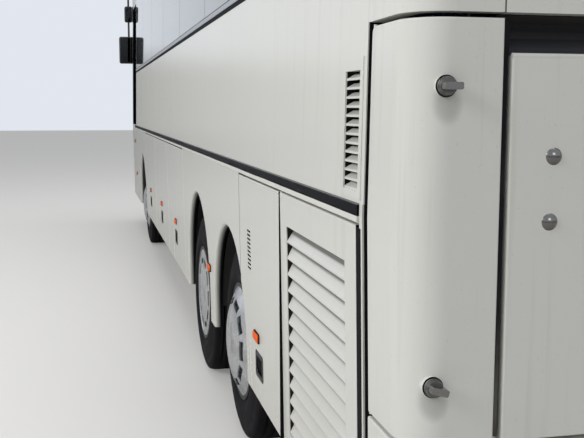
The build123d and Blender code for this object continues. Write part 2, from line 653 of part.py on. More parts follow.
# Rear bumper and its lamps
with BuildPart() as rear_bumper:
    add(SHELL & box((BEHIND_REAR, CORNER_X), ACROSS, (SKIRT_Z, BUMPER_TOP)))
    fillet(rim_edges(rear_bumper.part, z=(BUMPER_TOP,)), EDGE_R)
    for side, word in SIDES:
        add(box((BEHIND_REAR, CORNER_X), mirrored(side, *REAR_LAMP[0]), REAR_LAMP[1]), mode=Mode.SUBTRACT)
save(rear_bumper, "rear_bumper")
with BuildPart() as tail_lamps:
    for side, word in SIDES:
        lamp_y = (REAR_LAMP[0][0] + FIT, REAR_LAMP[0][1] - FIT)
        lamp_z = (REAR_LAMP[1][0] + FIT, REAR_LAMP[1][1] - FIT)
        add(RAISED & box((BEHIND_REAR, CORNER_X), mirrored(side, *lamp_y), lamp_z))
    fillet(tail_lamps.faces().sort_by(Axis.X)[:2].edges(), PROUD / 2)
    for y in LAMP_GROOVES:
        for side, word in SIDES:
            groove_y = mirrored(side, y - LAMP_GROOVE / 2, y + LAMP_GROOVE / 2)
            add(box((BEHIND_REAR, REAR_X + FIT), groove_y, REAR_LAMP[1]), mode=Mode.SUBTRACT)
save(tail_lamps, "tail_lamps")

# Front shell: all above the bumper and ahead of the side walls
with BuildPart() as front_shell:
    add(SHELL & box((WALL_FRONT_X + SEAM, AHEAD), ACROSS, (FRONT_BUMPER_TOP, ABOVE)))
    add(side_prism(BEHIND_SWEEP, 1), mode=Mode.SUBTRACT)
    add(box((WALL_FRONT_X, FRONT_JOINT), outer(-1), (0, BELT_TOP)), mode=Mode.SUBTRACT)
    add(box((SCREEN_X, AHEAD), ACROSS, SCREEN_Z) - BEHIND_GLASS, mode=Mode.SUBTRACT)
    inner_z = (SCREEN_Z[0] + REBATE, SCREEN_Z[1] - REBATE)
    add(box((SCREEN_X + REBATE, AHEAD), ACROSS, inner_z), mode=Mode.SUBTRACT)
    window_x, window_z = DRIVER_WINDOW
    add(box(window_x, outer(1), window_z) - BEHIND_GLASS, mode=Mode.SUBTRACT)
    inner_x = (window_x[0] + REBATE, window_x[1] - REBATE)
    add(box(inner_x, outer(1), (window_z[0] + REBATE, window_z[1] - REBATE)), mode=Mode.SUBTRACT)
    door_x = (FRONT_DOOR_X[0] - GAP, FRONT_DOOR_X[1] + GAP)
    add(box(door_x, outer(-1), (0, FRONT_DOOR_TOP + GAP)), mode=Mode.SUBTRACT)
    add(boss(*FRONT_INDICATOR, INDICATOR, 1))
    add(boss(*RIGHT_INDICATOR, INDICATOR, -1))
save(front_shell, "front_shell")
with BuildPart() as windscreen:
    add(PANE & box((SCREEN_X + FIT, AHEAD), ACROSS, (SCREEN_Z[0] + FIT, SCREEN_Z[1] - FIT)))
save(windscreen, "windscreen")
with BuildPart() as front_bumper:
    add(SHELL & box((FRONT_SWEEP[2][0], AHEAD), outer(1, 0), (SKIRT_Z, FRONT_BUMPER_TOP - SEAM)))
    add(SHELL & box((FRONT_DOOR_X[1] + GAP, AHEAD), outer(-1, 0), (SKIRT_Z, FRONT_BUMPER_TOP - SEAM)))
    add(side_prism(BEHIND_SWEEP, 1), mode=Mode.SUBTRACT)
    for side, word in SIDES:
        add(box((SCREEN_X, AHEAD), mirrored(side, *HEADLAMP[0]), HEADLAMP[1]), mode=Mode.SUBTRACT)
    add(boss(*FRONT_MARKER, MARKER, 1))
save(front_bumper, "front_bumper")
with BuildPart() as headlamps:
    for side, word in SIDES:
        lamp_y = (HEADLAMP[0][0] + FIT, HEADLAMP[0][1] - FIT)
        lamp_z = (HEADLAMP[1][0] + FIT, HEADLAMP[1][1] - FIT)
        add(RAISED & box((SCREEN_X, AHEAD), mirrored(side, *lamp_y), lamp_z))
save(headlamps, "headlamps")

# Doors on the right: a frame with its pane bonded in
for name, x, top in (("front_door", FRONT_DOOR_X, FRONT_DOOR_TOP), ("mid_door", MID_DOOR_X, MID_DOOR_TOP)):
    with BuildPart() as door:
        add(SHELL & box(x, outer(-1), (SKIRT_Z, top)))
        fillet(rim_edges(door.part, x=x, z=(SKIRT_Z, top)), EDGE_R)
        pane = ((x[0] + DOOR_FRAME, x[1] - DOOR_FRAME), (SKIRT_Z + DOOR_KICK, top - DOOR_FRAME))
        add(box(pane[0], outer(-1), pane[1]) - BEHIND_GLASS, mode=Mode.SUBTRACT)
        inner = [(low + REBATE, high - REBATE) for low, high in pane]
        add(box(inner[0], outer(-1), inner[1]), mode=Mode.SUBTRACT)
        add(PANE & box(pane[0], outer(-1), pane[1]))
    save(door, name)

# Saloon floor over the holds, and the driver's lower floor
with BuildPart() as saloon_floor:
    add(INNER & box((REAR_X + 100, FLOOR_FRONT_X), ACROSS, (SALOON_Z - FLOOR_T, SALOON_Z)))
    add(box(MID_DOOR_X, (-HALF_WIDTH, STAIR_Y), (0, SALOON_Z + 10)), mode=Mode.SUBTRACT)
    for side, word in SIDES:
        edge_y = mirrored(side, HALF_WIDTH - WALL - FLOOR_EDGE, HALF_WIDTH)
        add(box((REAR_X, SERVICE_JOINT + FLOOR_EDGE), edge_y, (0, SALOON_Z + 10)), mode=Mode.SUBTRACT)
    add(INNER & box(DRIVER_FLOOR_X, (DRIVER_FLOOR_Y, HALF_WIDTH), (DRIVER_FLOOR_Z - FLOOR_T, DRIVER_FLOOR_Z)))
save(saloon_floor, "saloon_floor")

# Ladder frame with its crossmembers and jacking pads
with BuildPart() as chassis:
    for side, word in SIDES:
        rail_y = mirrored(side, RAIL_Y - RAIL[0] / 2, RAIL_Y + RAIL[0] / 2)
        add(box(RAIL_X, rail_y, (RAIL_Z, RAIL_Z + RAIL[1])))
        for x in JACK_X:
            with Locations((x, side * RAIL_Y, RAIL_Z - JACK[1] / 2)):
                Box(JACK[0], JACK[0], JACK[1])
    for x in CROSSMEMBERS:
        with Locations((x, 0, RAIL_Z + RAIL[1] / 2)):
            Box(CROSSMEMBER[0], 2 * RAIL_Y, CROSSMEMBER[1])
save(chassis, "chassis")

# Luggage floor with its bulkheads, and short bulkheads beside the axles; all straddle the rails
with BuildPart() as bulkheads:
    floor_z = (HOLD_FLOOR_Z, HOLD_FLOOR_Z + HOLD_FLOOR_T)
    add(INNER & box((HOLD_JOINTS[0], HOLD_JOINTS[3]), ACROSS, floor_z))
    for x in HOLD_JOINTS:
        plate_x = (x - BULKHEAD_T / 2, x + BULKHEAD_T / 2)
        add(INNER & box(plate_x, ACROSS, (HOLD_FLOOR_Z, SALOON_Z - FLOOR_T - FIT)))
    for x in SHORT_BULKHEADS:
        plate_x = (x - BULKHEAD_T / 2, x + BULKHEAD_T / 2)
        add(INNER & box(plate_x, ACROSS, (DRIVER_FLOOR_Z - FLOOR_T - 40, SALOON_Z - FLOOR_T - FIT)))
    add(box(MID_DOOR_X, (-HALF_WIDTH, STAIR_Y), (0, SALOON_Z)), mode=Mode.SUBTRACT)
    for side, word in SIDES:
        slot_y = mirrored(side, RAIL_Y - RAIL[0] / 2 - BEHIND, RAIL_Y + RAIL[0] / 2 + BEHIND)
        slot_z = (RAIL_Z - BEHIND, RAIL_Z + RAIL[1] + BEHIND)
        add(box(RAIL_X, slot_y, slot_z), mode=Mode.SUBTRACT)
save(bulkheads, "bulkheads")

# Wheel housings, half rings between the frame and the side panels
with BuildPart() as wheel_housings:
    for name, radius in HOUSING_R.items():
        station, _, centre_z = WHEELS[name][:3]
        for side, word in SIDES:
            inner_y = skin_y(SKIRT_Z) - WALL - FIT
            with BuildSketch(Plane.XZ.offset(-side * HOUSING_Y)) as ring:
                with Locations((station, centre_z)):
                    Circle(radius + HOUSING_T)
                    Circle(radius, mode=Mode.SUBTRACT)
                with Locations((station, centre_z - radius)):
                    Rectangle(3 * radius, 2 * radius, mode=Mode.SUBTRACT)
            extrude(amount=-side * (inner_y - HOUSING_Y))
save(wheel_housings, "wheel_housings")

# Engine, one plain block
with BuildPart() as engine:
    add(box(*ENGINE))
save(engine, "engine")

# Front axle beam with its kingpins
station, _, _, plane_y, _ = WHEELS["front"]
with BuildPart() as front_axle:
    with BuildSketch(Plane.XZ.offset(KINGPIN_Y - 60)) as beam:
        with Locations((station, AXLE_Z)):
            RectangleRounded(*BEAM, 15)
    extrude(amount=-2 * (KINGPIN_Y - 60))
    for side, word in SIDES:
        with Locations((station, side * KINGPIN_Y, AXLE_Z)):
            Cylinder(KINGPIN_R, KINGPIN_L)
            Cylinder(BEAM_EYE[0], BEAM_EYE[1])
        with Locations((station, side * (KINGPIN_Y - BEAM_EYE[2] / 2), AXLE_Z)):
            Box(2 * BEAM_EYE[0], BEAM_EYE[2], BEAM_EYE[1])
        with Locations((station, side * RAIL_Y, (AXLE_Z + RAIL_Z) / 2)):
            Cylinder(SPRING_R["front"], RAIL_Z - AXLE_Z - FIT)
save(front_axle, "front_axle")

# Drive and tag axles: tube, hub stubs and air springs; the drive axle has its bowl
for name, tube_r in AXLE_TUBE_R.items():
    station, _, _, plane_y, _ = WHEELS[name]
    inner_y = plane_y - (TWIN_SPACING if name == "drive" else 0) - TYRE_W / 2
    with BuildPart() as axle:
        with Locations((station, 0, AXLE_Z)):
            Cylinder(tube_r, 2 * (inner_y - 20), rotation=(90, 0, 0))
            Cylinder(STUB_R, 2 * (plane_y + STUB_OUT), rotation=(90, 0, 0))
            if name == "drive":
                Sphere(BOWL_R)
        for side, word in SIDES:
            with Locations((station, side * RAIL_Y, (AXLE_Z + RAIL_Z) / 2)):
                Cylinder(SPRING_R[name], RAIL_Z - AXLE_Z - FIT)
    save(axle, f"{name}_axle")

# Steering knuckles: two eyes round the kingpin, a web and the wheel's stub
station, _, _, plane_y, _ = WHEELS["front"]
for side, word in SIDES:
    eye_r, eye_h, eye_z = KNUCKLE_EYE
    web_out, web_t, web_h = KNUCKLE_WEB
    web_y = KINGPIN_Y + web_out
    with BuildPart() as knuckle:
        eyes = [(station, side * KINGPIN_Y, AXLE_Z + rise) for rise in (eye_z, -eye_z)]
        with Locations(*eyes):
            Cylinder(eye_r, eye_h)
        with Locations((station, side * web_y, AXLE_Z)):
            Box(2.2 * eye_r, web_t, web_h)
        with Locations(*[(station, side * web_y, AXLE_Z + rise) for rise in (eye_z, -eye_z)]):
            Box(1.6 * eye_r, 2 * web_t, eye_h)
        stub_y = (web_y, plane_y + STUB_OUT)
        with Locations((station, side * (stub_y[0] + stub_y[1]) / 2, AXLE_Z)):
            Cylinder(STUB_R, stub_y[1] - stub_y[0], rotation=(90, 0, 0))
        with Locations((station, side * KINGPIN_Y, AXLE_Z)):
            Cylinder(KINGPIN_R + RUNNING, KINGPIN_L + 2 * KINGPIN_R, mode=Mode.SUBTRACT)
    save(knuckle, f"knuckle_{word}")


def tyre_profile(y):
    """Tyre section beside the axle line, at the wheel plane y."""
    w = TYRE_W / 2
    with BuildSketch(Plane.YZ) as sk:
        with BuildLine():
            Polyline(
                (y - w + TYRE_BEAD_IN, RIM_R),
                (y - w, RIM_R + 70),
                (y - w, AXLE_Z - 110),
                (y - w + TYRE_SHOULDER, AXLE_Z - 12),
                (y - w + 2 * TYRE_SHOULDER, AXLE_Z),
                (y + w - 2 * TYRE_SHOULDER, AXLE_Z),
                (y + w - TYRE_SHOULDER, AXLE_Z - 12),
                (y + w, AXLE_Z - 110),
                (y + w, RIM_R + 70),
                (y + w - TYRE_BEAD_IN, RIM_R),
                close=True,
            )
        make_face()
    return sk.sketch


# Tyres; the drive axle's are twins
for name, (station, _, _, plane_y, _) in WHEELS.items():
    planes = [plane_y, plane_y - TWIN_SPACING] if name == "drive" else [plane_y]
    for side, word in SIDES:
        with BuildPart() as tyre:
            for y in planes:
                revolve(tyre_profile(side * y), axis=Axis.Y)
        tyre.part = Pos(station, 0, AXLE_Z) * tyre.part
        plural = "tyres" if name == "drive" else "tyre"
        save(tyre, f"{name}_{plural}_{word}")

# Wheels: rim and flange, disc with its hub, and the slotted domed cover over them
for name, (station, _, _, plane_y, dome) in WHEELS.items():
    seat = plane_y + TYRE_W / 2 - TYRE_BEAD_IN
    crown = seat + dome
    planes = [plane_y, plane_y - TWIN_SPACING] if name == "drive" else [plane_y]
    with BuildPart() as wheel:
        with BuildSketch() as dish:
            with BuildLine():
                Line((0, crown), (HUB_R, crown))
                ThreePointArc((HUB_R, crown), (HUB_R + 110, crown - dome * 0.2), (COVER_R, seat + COVER_RIM))
                Line((COVER_R, seat + COVER_RIM), (COVER_R, seat))
                Line((COVER_R, seat), (COVER_R - 2 * COVER_T, seat))
                Line((COVER_R - 2 * COVER_T, seat), (COVER_R - 2 * COVER_T, seat + COVER_RIM - COVER_T))
                ThreePointArc(
                    (COVER_R - 2 * COVER_T, seat + COVER_RIM - COVER_T),
                    (HUB_R + 106, crown - dome * 0.2 - COVER_T),
                    (HUB_R, crown - COVER_T),
                )
                Line((HUB_R, crown - COVER_T), (0, crown - COVER_T))
                Line((0, crown - COVER_T), (0, crown))
            make_face()
        revolve(axis=Axis.Y)
        with BuildSketch(Plane.XZ.offset(-(seat - 20))) as slots:
            with PolarLocations(COVER_SLOT[2], COVER_SLOTS):
                Rectangle(COVER_SLOT[0], COVER_SLOT[1])
        extrude(amount=-(dome + 40), mode=Mode.SUBTRACT)
        for y in planes:
            with BuildSketch(Plane.XZ.offset(-y)) as rim:
                Circle(RIM_R)
                Circle(RIM_R - RIM_T, mode=Mode.SUBTRACT)
            extrude(amount=TYRE_W / 2 - TYRE_BEAD_IN, both=True)
        with BuildSketch(Plane.XZ.offset(-seat)) as neck:
            Circle(RIM_R)
            Circle(RIM_R - RIM_T / 2, mode=Mode.SUBTRACT)
        extrude(amount=-12)
        with BuildSketch(Plane.XZ.offset(-(seat + 7))) as flange:
            Circle(FLANGE_R)
            Circle(RIM_R - RIM_T / 2, mode=Mode.SUBTRACT)
        extrude(amount=-6)
        with BuildSketch(Plane.XZ.offset(-(plane_y + DISC_OUT))) as disc:
            Circle(RIM_R - RIM_T / 2)
            Circle(STUB_R + RUNNING, mode=Mode.SUBTRACT)
        extrude(amount=DISC_T / 2, both=True)
        if name == "drive":
            with BuildSketch(Plane.XZ.offset(-(plane_y - TWIN_SPACING / 2))) as spacer:
                Circle(RIM_R)
                Circle(RIM_R / 2, mode=Mode.SUBTRACT)
            extrude(amount=TWIN_SPACING / 4, both=True)
    for side, word in SIDES:
        turned = wheel.part if side > 0 else mirror(wheel.part, about=Plane.XZ)
        with BuildPart() as placed:
            add(Pos(station, 0, AXLE_Z) * turned)
        save(placed, f"{name}_wheel_{word}")

# Hanging mirrors: arms from the front corners of the roof, two housings on each
with BuildPart() as mirrors:
    for side, word in SIDES:
        arm_x = (MIRROR_X[0] + MIRROR_X[1]) / 2
        arm_y = side * (HEAD_Y[0] + HEAD_Y[1]) / 2
        arm_top = MIRROR_Z[1] + ARM_RISE
        with BuildLine() as path:
            FilletPolyline(
                (arm_x, arm_y, MIRROR_Z[1] - 20),
                (arm_x, arm_y, arm_top),
                (ARM_X, arm_y, arm_top),
                (ARM_X, side * (HALF_WIDTH - 250), arm_top),
                radius=60,
            )
        with BuildSketch(Plane(path.line @ 0, z_dir=path.line % 0)) as tube:
            Circle(ARM_R)
        sweep(path=path.line)
    add(envelope(-FIT), mode=Mode.SUBTRACT)
    heads = []
    for side, word in SIDES:
        heads.append(box(MIRROR_X, mirrored(side, *MIRROR_Y), MIRROR_Z))
        head_x = (MIRROR_X[0] + 10, MIRROR_X[1] - 10)
        head_z = (MIRROR_Z[1] + HEAD_RISE[0], MIRROR_Z[1] + HEAD_RISE[1])
        heads.append(box(head_x, mirrored(side, *HEAD_Y), head_z))
    for head in heads:
        add(head.fillet(MIRROR_R, head.edges()))
save(mirrors, "mirrors")

# Seats: a cushion and a raked back with its headrest, in pairs beside the aisle
with BuildSketch(Plane.XZ) as seat_side:
    with BuildLine():
        Polyline(
            (60, 0), (330, 0), (330, 270), (460, 330), (470, 430), (120, 430), (40, 700), (-10, 900),
            (-60, 1130), (-150, 1130), (-120, 900), (-60, 600), (-10, 330), (60, 270), close=True,
        )
    make_face()
    fillet([v for v in seat_side.vertices() if v.Z > 300 or v.Y > 300], 22)
SEAT = extrude(seat_side.sketch, amount=-SEAT_WIDTH)
LINK = box((80, 310), (SEAT_WIDTH - 5, SEAT_WIDTH + SEAT_GAP + 5), (20, 240))
with BuildPart() as seats:
    for side, word in SIDES:
        for i in range(SEAT_COUNT):
            x = SEAT_START_X - i * SEAT_PITCH
            if side < 0 and MID_DOOR_X[0] - STAIR_CLEAR[0] < x < MID_DOOR_X[1] + STAIR_CLEAR[1]:
                continue
            place = Pos(x, PAIR_Y[0] if side > 0 else -PAIR_Y[1], SALOON_Z)
            add(place * SEAT)
            add(place * Pos(0, SEAT_WIDTH + SEAT_GAP, 0) * SEAT)
            add(place * LINK)
    add(Pos(*DRIVER_SEAT, DRIVER_FLOOR_Z) * SEAT)
save(seats, "seats")

# Driver's dash, and the steering wheel on its column
with BuildPart() as dash:
    with BuildSketch(Plane.XZ.offset(-HALF_WIDTH)) as profile:
        with BuildLine():
            Polyline(
                (DASH_X[0] + 120, DRIVER_FLOOR_Z + FIT),
                (DASH_X[0] + 120, DASH_TOP - 170),
                (DASH_X[0], DASH_TOP - 60),
                (DASH_X[0] + 60, DASH_TOP),
                (DASH_X[1], DASH_TOP),
                (DASH_X[1], DRIVER_FLOOR_Z + FIT),
                close=True,
            )
        make_face()
    extrude(amount=HALF_WIDTH - DASH_Y)
    add(INNER & box((FLOOR_FRONT_X, AHEAD), (DASH_Y, HALF_WIDTH), (0, HEIGHT)), mode=Mode.INTERSECT)
save(dash, "dash")
with BuildPart() as steering_wheel:
    with BuildSketch(Plane.XZ):
        with Locations((STEERING_R, 0)):
            RegularPolygon(STEERING_GRIP_R, GRIP_SIDES)
    revolve(axis=Axis.Z)
    Cylinder(COLUMN_R, COLUMN, align=(Align.CENTER, Align.CENTER, Align.MAX))
    Box(2 * STEERING_R, *SPOKE)
steering_wheel.part = Pos(*STEERING_AT) * Rot(0, -WHEEL_TILT, 0) * steering_wheel.part
save(steering_wheel, "steering_wheel")

# Wipers, parked along the foot of the windscreen
STANDOFF = envelope(-BLADE[0])
BLADE_SKIN = envelope(-BLADE[1]) - STANDOFF
ARM_SKIN = envelope(-BLADE[1]) - envelope(-FIT)
with BuildPart() as wipers:
    for y0, y1 in WIPERS:
        add(BLADE_SKIN & box((SCREEN_X, AHEAD), (y0, y1), (WIPER_Z[1], WIPER_Z[1] + BLADE[2])))
        arm_y = ((y0 + y1 - WIPER_ARM) / 2, (y0 + y1 + WIPER_ARM) / 2)
        add(ARM_SKIN & box((SCREEN_X, AHEAD), arm_y, WIPER_Z))
        add(BLADE_SKIN & box((SCREEN_X, AHEAD), arm_y, (WIPER_Z[1] - FIT, WIPER_Z[1] + FIT)))
save(wipers, "wipers")
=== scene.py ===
import math

import bmesh
import bpy
from mathutils import Matrix, Vector


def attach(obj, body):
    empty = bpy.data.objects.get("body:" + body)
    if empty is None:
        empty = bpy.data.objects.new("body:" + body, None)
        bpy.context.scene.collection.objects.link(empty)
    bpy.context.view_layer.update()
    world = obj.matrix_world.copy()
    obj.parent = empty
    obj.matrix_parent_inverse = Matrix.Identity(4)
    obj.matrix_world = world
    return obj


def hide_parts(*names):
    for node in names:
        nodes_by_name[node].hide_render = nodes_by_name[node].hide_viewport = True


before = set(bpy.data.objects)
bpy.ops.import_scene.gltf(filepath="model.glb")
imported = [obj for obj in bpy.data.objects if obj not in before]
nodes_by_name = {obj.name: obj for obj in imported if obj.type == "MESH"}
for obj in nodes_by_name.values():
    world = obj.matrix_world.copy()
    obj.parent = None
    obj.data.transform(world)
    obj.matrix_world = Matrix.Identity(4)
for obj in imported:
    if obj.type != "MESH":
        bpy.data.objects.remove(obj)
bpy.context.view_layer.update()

# Camera: it stands beside the rear left corner, at eye height, and looks
# forward along the side with a normal lens, turned a little towards the coach.
CAMERA_AT = (-7.80, 1.925, 1.69)
LENS_MM = 55.48
LOOK_DOWN_DEG = 7.07
TURN_IN_DEG = 12.88
LEVEL_TILT = 0.0015
camera_data = bpy.data.cameras.new("camera")
camera_data.lens = LENS_MM
camera_data.sensor_width = 36.0
camera_data.sensor_fit = "HORIZONTAL"
camera_data.clip_end = 200.0
camera = bpy.data.objects.new("camera", camera_data)
bpy.context.scene.collection.objects.link(camera)
camera.location = CAMERA_AT
camera.rotation_euler = (math.radians(90 - LOOK_DOWN_DEG), 0.0, math.radians(-90 - TURN_IN_DEG))
camera.rotation_euler.rotate_axis("Z", LEVEL_TILT)
bpy.context.scene.camera = camera
bpy.context.scene.view_settings.view_transform = "Standard"


# Studio: a pale floor, soft wide lamps on the coach's sides and above it, and a
# pale surround over a low grey wall that only shows in reflections.
def new_material(name):
    """A node material, with its tree and its Principled shader."""
    material = bpy.data.materials.new(name)
    material.use_nodes = True
    tree = material.node_tree
    return material, tree, tree.nodes["Principled BSDF"]


def mesh_object(bm, name, material, smooth=True):
    """Finish a bmesh as an object at the origin."""
    mesh = bpy.data.meshes.new(name)
    bm.to_mesh(mesh)
    bm.free()
    mesh.materials.append(material)
    for polygon in mesh.polygons:
        polygon.use_smooth = smooth
    piece = bpy.data.objects.new(name, mesh)
    bpy.context.scene.collection.objects.link(piece)
    return piece


def node(tree, kind, **settings):
    """Add a node and set its plain properties."""
    made = tree.nodes.new(kind)
    for key, value in settings.items():
        setattr(made, key, value)
    return made


def feed(tree, socket, value):
    """Give an input its value, from another node's socket or as it stands."""
    if isinstance(value, bpy.types.NodeSocket):
        tree.links.new(value, socket)
    else:
        socket.default_value = value


def fill(tree, made, **values):
    """Feed a node's inputs by name, where _ stands for a space."""
    for key, value in values.items():
        feed(tree, made.inputs[key.replace("_", " ")], value)


def math_node(tree, operation, first, *others, clamp=False):
    """Take one value after another into a sum, product or the like, each a socket or a number."""
    for value in others or (0.0,):
        made = node(tree, "ShaderNodeMath", operation=operation, use_clamp=clamp)
        feed(tree, made.inputs[0], first)
        feed(tree, made.inputs[1], value)
        first = made.outputs[0]
    return first


def ramp(tree, value, low, high, out_low=0.0, out_high=1.0):
    """Ease one range of a value into another, clamped."""
    made = node(tree, "ShaderNodeMapRange", clamp=True, interpolation_type="SMOOTHSTEP")
    fill(tree, made, Value=value, From_Min=low, From_Max=high, To_Min=out_low, To_Max=out_high)
    return made.outputs["Result"]


def blend_color(tree, factor, first, second):
    """Mix two colours, each a socket or a colour."""
    made = node(tree, "ShaderNodeMix", data_type="RGBA")
    sockets = (made.inputs["Factor"], made.inputs[6], made.inputs[7])
    for socket, value in zip(sockets, (factor, first, second)):
        feed(tree, socket, value)
    return made.outputs[2]


def axes(tree, vector):
    """The X, Y and Z outputs of a vector."""
    parts = node(tree, "ShaderNodeSeparateXYZ")
    tree.links.new(vector, parts.inputs[0])
    return parts.outputs


FLOOR_GLOW = 0.20
FLOOR_SIZE = 60.0
floor_material, tree, shader = new_material("studio_floor")
path = node(tree, "ShaderNodeLightPath").outputs
fill(tree, shader, Base_Color=(0.62, 0.61, 0.59, 1), Roughness=0.85, Emission_Color=(0.98, 0.97, 0.95, 1),
     Emission_Strength=math_node(tree, "MULTIPLY", path["Is Camera Ray"], FLOOR_GLOW))
bm = bmesh.new()
bmesh.ops.create_grid(bm, x_segments=1, y_segments=1, size=FLOOR_SIZE)
floor = mesh_object(bm, "studio_floor", floor_material, smooth=False)

SURROUND = (0.76, 0.80, 0.86, 1)
LOW_WALL = (0.34, 0.35, 0.34, 1)
WALL_RISE = (0.035, 0.075)
world = bpy.data.worlds.new("studio")
bpy.context.scene.world = world
world.use_nodes = True
tree = world.node_tree
lit = tree.nodes["Background"]
fill(tree, lit, Color=(0.93, 0.96, 1.0, 1), Strength=0.36)
path = node(tree, "ShaderNodeLightPath").outputs
shown = math_node(tree, "MAXIMUM", path["Is Camera Ray"], path["Is Glossy Ray"], path["Is Transmission Ray"])
rise = axes(tree, node(tree, "ShaderNodeTexCoord").outputs["Generated"])["Z"]
mirrored = math_node(tree, "MULTIPLY", ramp(tree, rise, *WALL_RISE, 1.0, 0.0), path["Is Glossy Ray"])
seen = node(tree, "ShaderNodeBackground")
fill(tree, seen, Color=blend_color(tree, mirrored, SURROUND, LOW_WALL), Strength=1.0)
mix = node(tree, "ShaderNodeMixShader")
for socket, source in zip(mix.inputs, (shown, lit.outputs[0], seen.outputs[0])):
    tree.links.new(source, socket)
tree.links.new(mix.outputs[0], tree.nodes["World Output"].inputs["Surface"])

for name, place, aim, size, power in (
    ("key", (-6.5, 12.0, 7.0), (-4.0, 0.0, 1.2), (9.0, 5.0), 900.0),
    ("rear_fill", (-16.0, -1.0, 6.5), (-5.9, 0.0, 1.4), (5.0, 4.0), 170.0),
    ("top", (0.0, 0.0, 13.0), (0.0, 0.0, 0.0), (16.0, 10.0), 700.0),
    ("right_fill", (2.0, -13.0, 6.0), (0.0, 0.0, 1.5), (12.0, 6.0), 600.0),
):
    lamp = bpy.data.lights.new(name, "AREA")
    lamp.shape = "RECTANGLE"
    lamp.size, lamp.size_y = size
    lamp.energy = power
    lamp_object = bpy.data.objects.new(name, lamp)
    lamp_object.location = place
    lamp_object.rotation_euler = (Vector(aim) - Vector(place)).to_track_quat("-Z", "Y").to_euler()
    bpy.context.scene.collection.objects.link(lamp_object)


# Body panels: sheet steel and glass fibre in gloss off-white paint, dulled by
# road film that thickens towards the skirt, with faint runs and fine grit marks.
def object_place(tree):
    """Place in the coach's own frame, in metres."""
    return node(tree, "ShaderNodeTexCoord").outputs["Object"]


def noise(tree, vector, scale, detail=3.0, rough=0.55):
    """Soft noise, from 0 to 1."""
    made = node(tree, "ShaderNodeTexNoise")
    fill(tree, made, Vector=vector, Scale=scale, Detail=detail, Roughness=rough)
    return made.outputs["Fac"]


def stretch(tree, vector, scale):
    """A place scaled apart along the three axes."""
    made = node(tree, "ShaderNodeMapping")
    fill(tree, made, Vector=vector, Scale=scale)
    return made.outputs["Vector"]


def bump(tree, height, strength, distance):
    """Normal of a surface with a fine relief."""
    made = node(tree, "ShaderNodeBump")
    fill(tree, made, Height=height, Strength=strength, Distance=distance)
    return made.outputs["Normal"]


SKIRT_FOOT = 0.30
CHALK = (0.5, 0.52, 0.5, 1)
road_film = bpy.data.node_groups.new("road film", "ShaderNodeTree")
for name, kind, value in (
    ("Paint", "Color", (0.7, 0.7, 0.66, 1)),
    ("Film", "Color", (0.36, 0.31, 0.25, 1)),
    ("Film top", "Float", 1.1),
    ("Film amount", "Float", 0.26),
    ("Runs", "Float", 0.12),
    ("Gloss roughness", "Float", 0.16),
    ("Ripple", "Float", 0.02),
):
    socket = road_film.interface.new_socket(name=name, in_out="INPUT", socket_type=f"NodeSocket{kind}")
    socket.default_value = value
for name, kind in (("Color", "Color"), ("Roughness", "Float"), ("Normal", "Vector")):
    road_film.interface.new_socket(name=name, in_out="OUTPUT", socket_type=f"NodeSocket{kind}")
tree = road_film
inside = node(tree, "NodeGroupInput").outputs
place = object_place(tree)
low_down = ramp(tree, axes(tree, place)["Z"], SKIRT_FOOT, inside["Film top"], 1.0, 0.0)
cloud = ramp(tree, noise(tree, place, 1.7, 4.0), 0.32, 0.72, 0.35, 1.10)
fine = ramp(tree, noise(tree, place, 55.0, 3.0), 0.35, 0.75)
grit = math_node(tree, "ADD", math_node(tree, "MULTIPLY", fine, 0.15), 0.9)
film = math_node(tree, "MULTIPLY", low_down, inside["Film amount"], cloud, grit)
runs = ramp(tree, noise(tree, stretch(tree, place, (26.0, 26.0, 0.9)), 1.0, 3.0, 0.6), 0.52, 0.74)
streak = math_node(tree, "MULTIPLY", runs, inside["Runs"])
chips = ramp(tree, noise(tree, place, 150.0, 0.0), 0.80, 0.83, 0.0, 0.12)
dirt = math_node(tree, "ADD", film, streak, chips, clamp=True)
faded = ramp(tree, noise(tree, place, 0.55, 2.0), 0.3, 0.7, 0.0, 0.05)
tint = blend_color(tree, faded, inside["Paint"], CHALK)
dulled = math_node(tree, "MULTIPLY", dirt, 0.45)
grained = math_node(tree, "MULTIPLY", fine, 0.02)
fill(tree, node(tree, "NodeGroupOutput"), Color=blend_color(tree, dirt, tint, inside["Film"]),
     Roughness=math_node(tree, "ADD", inside["Gloss roughness"], dulled, grained, clamp=True),
     Normal=bump(tree, noise(tree, place, 2.2, 2.0), inside["Ripple"], 0.01))


def use_film(tree, shader, **values):
    """Lay the road film on a material, with its own values, and return the film's outputs."""
    film = node(tree, "ShaderNodeGroup", node_tree=road_film)
    fill(tree, film, **values)
    made = film.outputs
    fill(tree, shader, Base_Color=made["Color"], Roughness=made["Roughness"], Normal=made["Normal"])
    return made


def dress(material, *names):
    """Give CAD nodes a material."""
    for name in names:
        piece = nodes_by_name[name]
        piece.data.materials.clear()
        piece.data.materials.append(material)


OFF_WHITE = (0.70, 0.70, 0.655, 1)
PAINT_GLOSS = 0.22
body_paint, tree, shader = new_material("body_paint")
use_film(tree, shader, Paint=OFF_WHITE)
shader.inputs["Specular IOR Level"].default_value = PAINT_GLOSS
dress(body_paint, "rear_bumper")


# Flap fittings: black moulded pulls sunk in the flaps, and the raised seats of
# the side markers. Both are part of the flap's solid, so its paint is masked.
def inside_box(tree, place, low, high):
    """Mask that is 1 between two corners; an axis of None is left out."""
    parts = axes(tree, place)
    sides = []
    for axis, a, b in zip("XYZ", low, high):
        if a is not None:
            sides.append(math_node(tree, "GREATER_THAN", parts[axis], a))
            sides.append(math_node(tree, "LESS_THAN", parts[axis], b))
    return math_node(tree, "MULTIPLY", *sides)


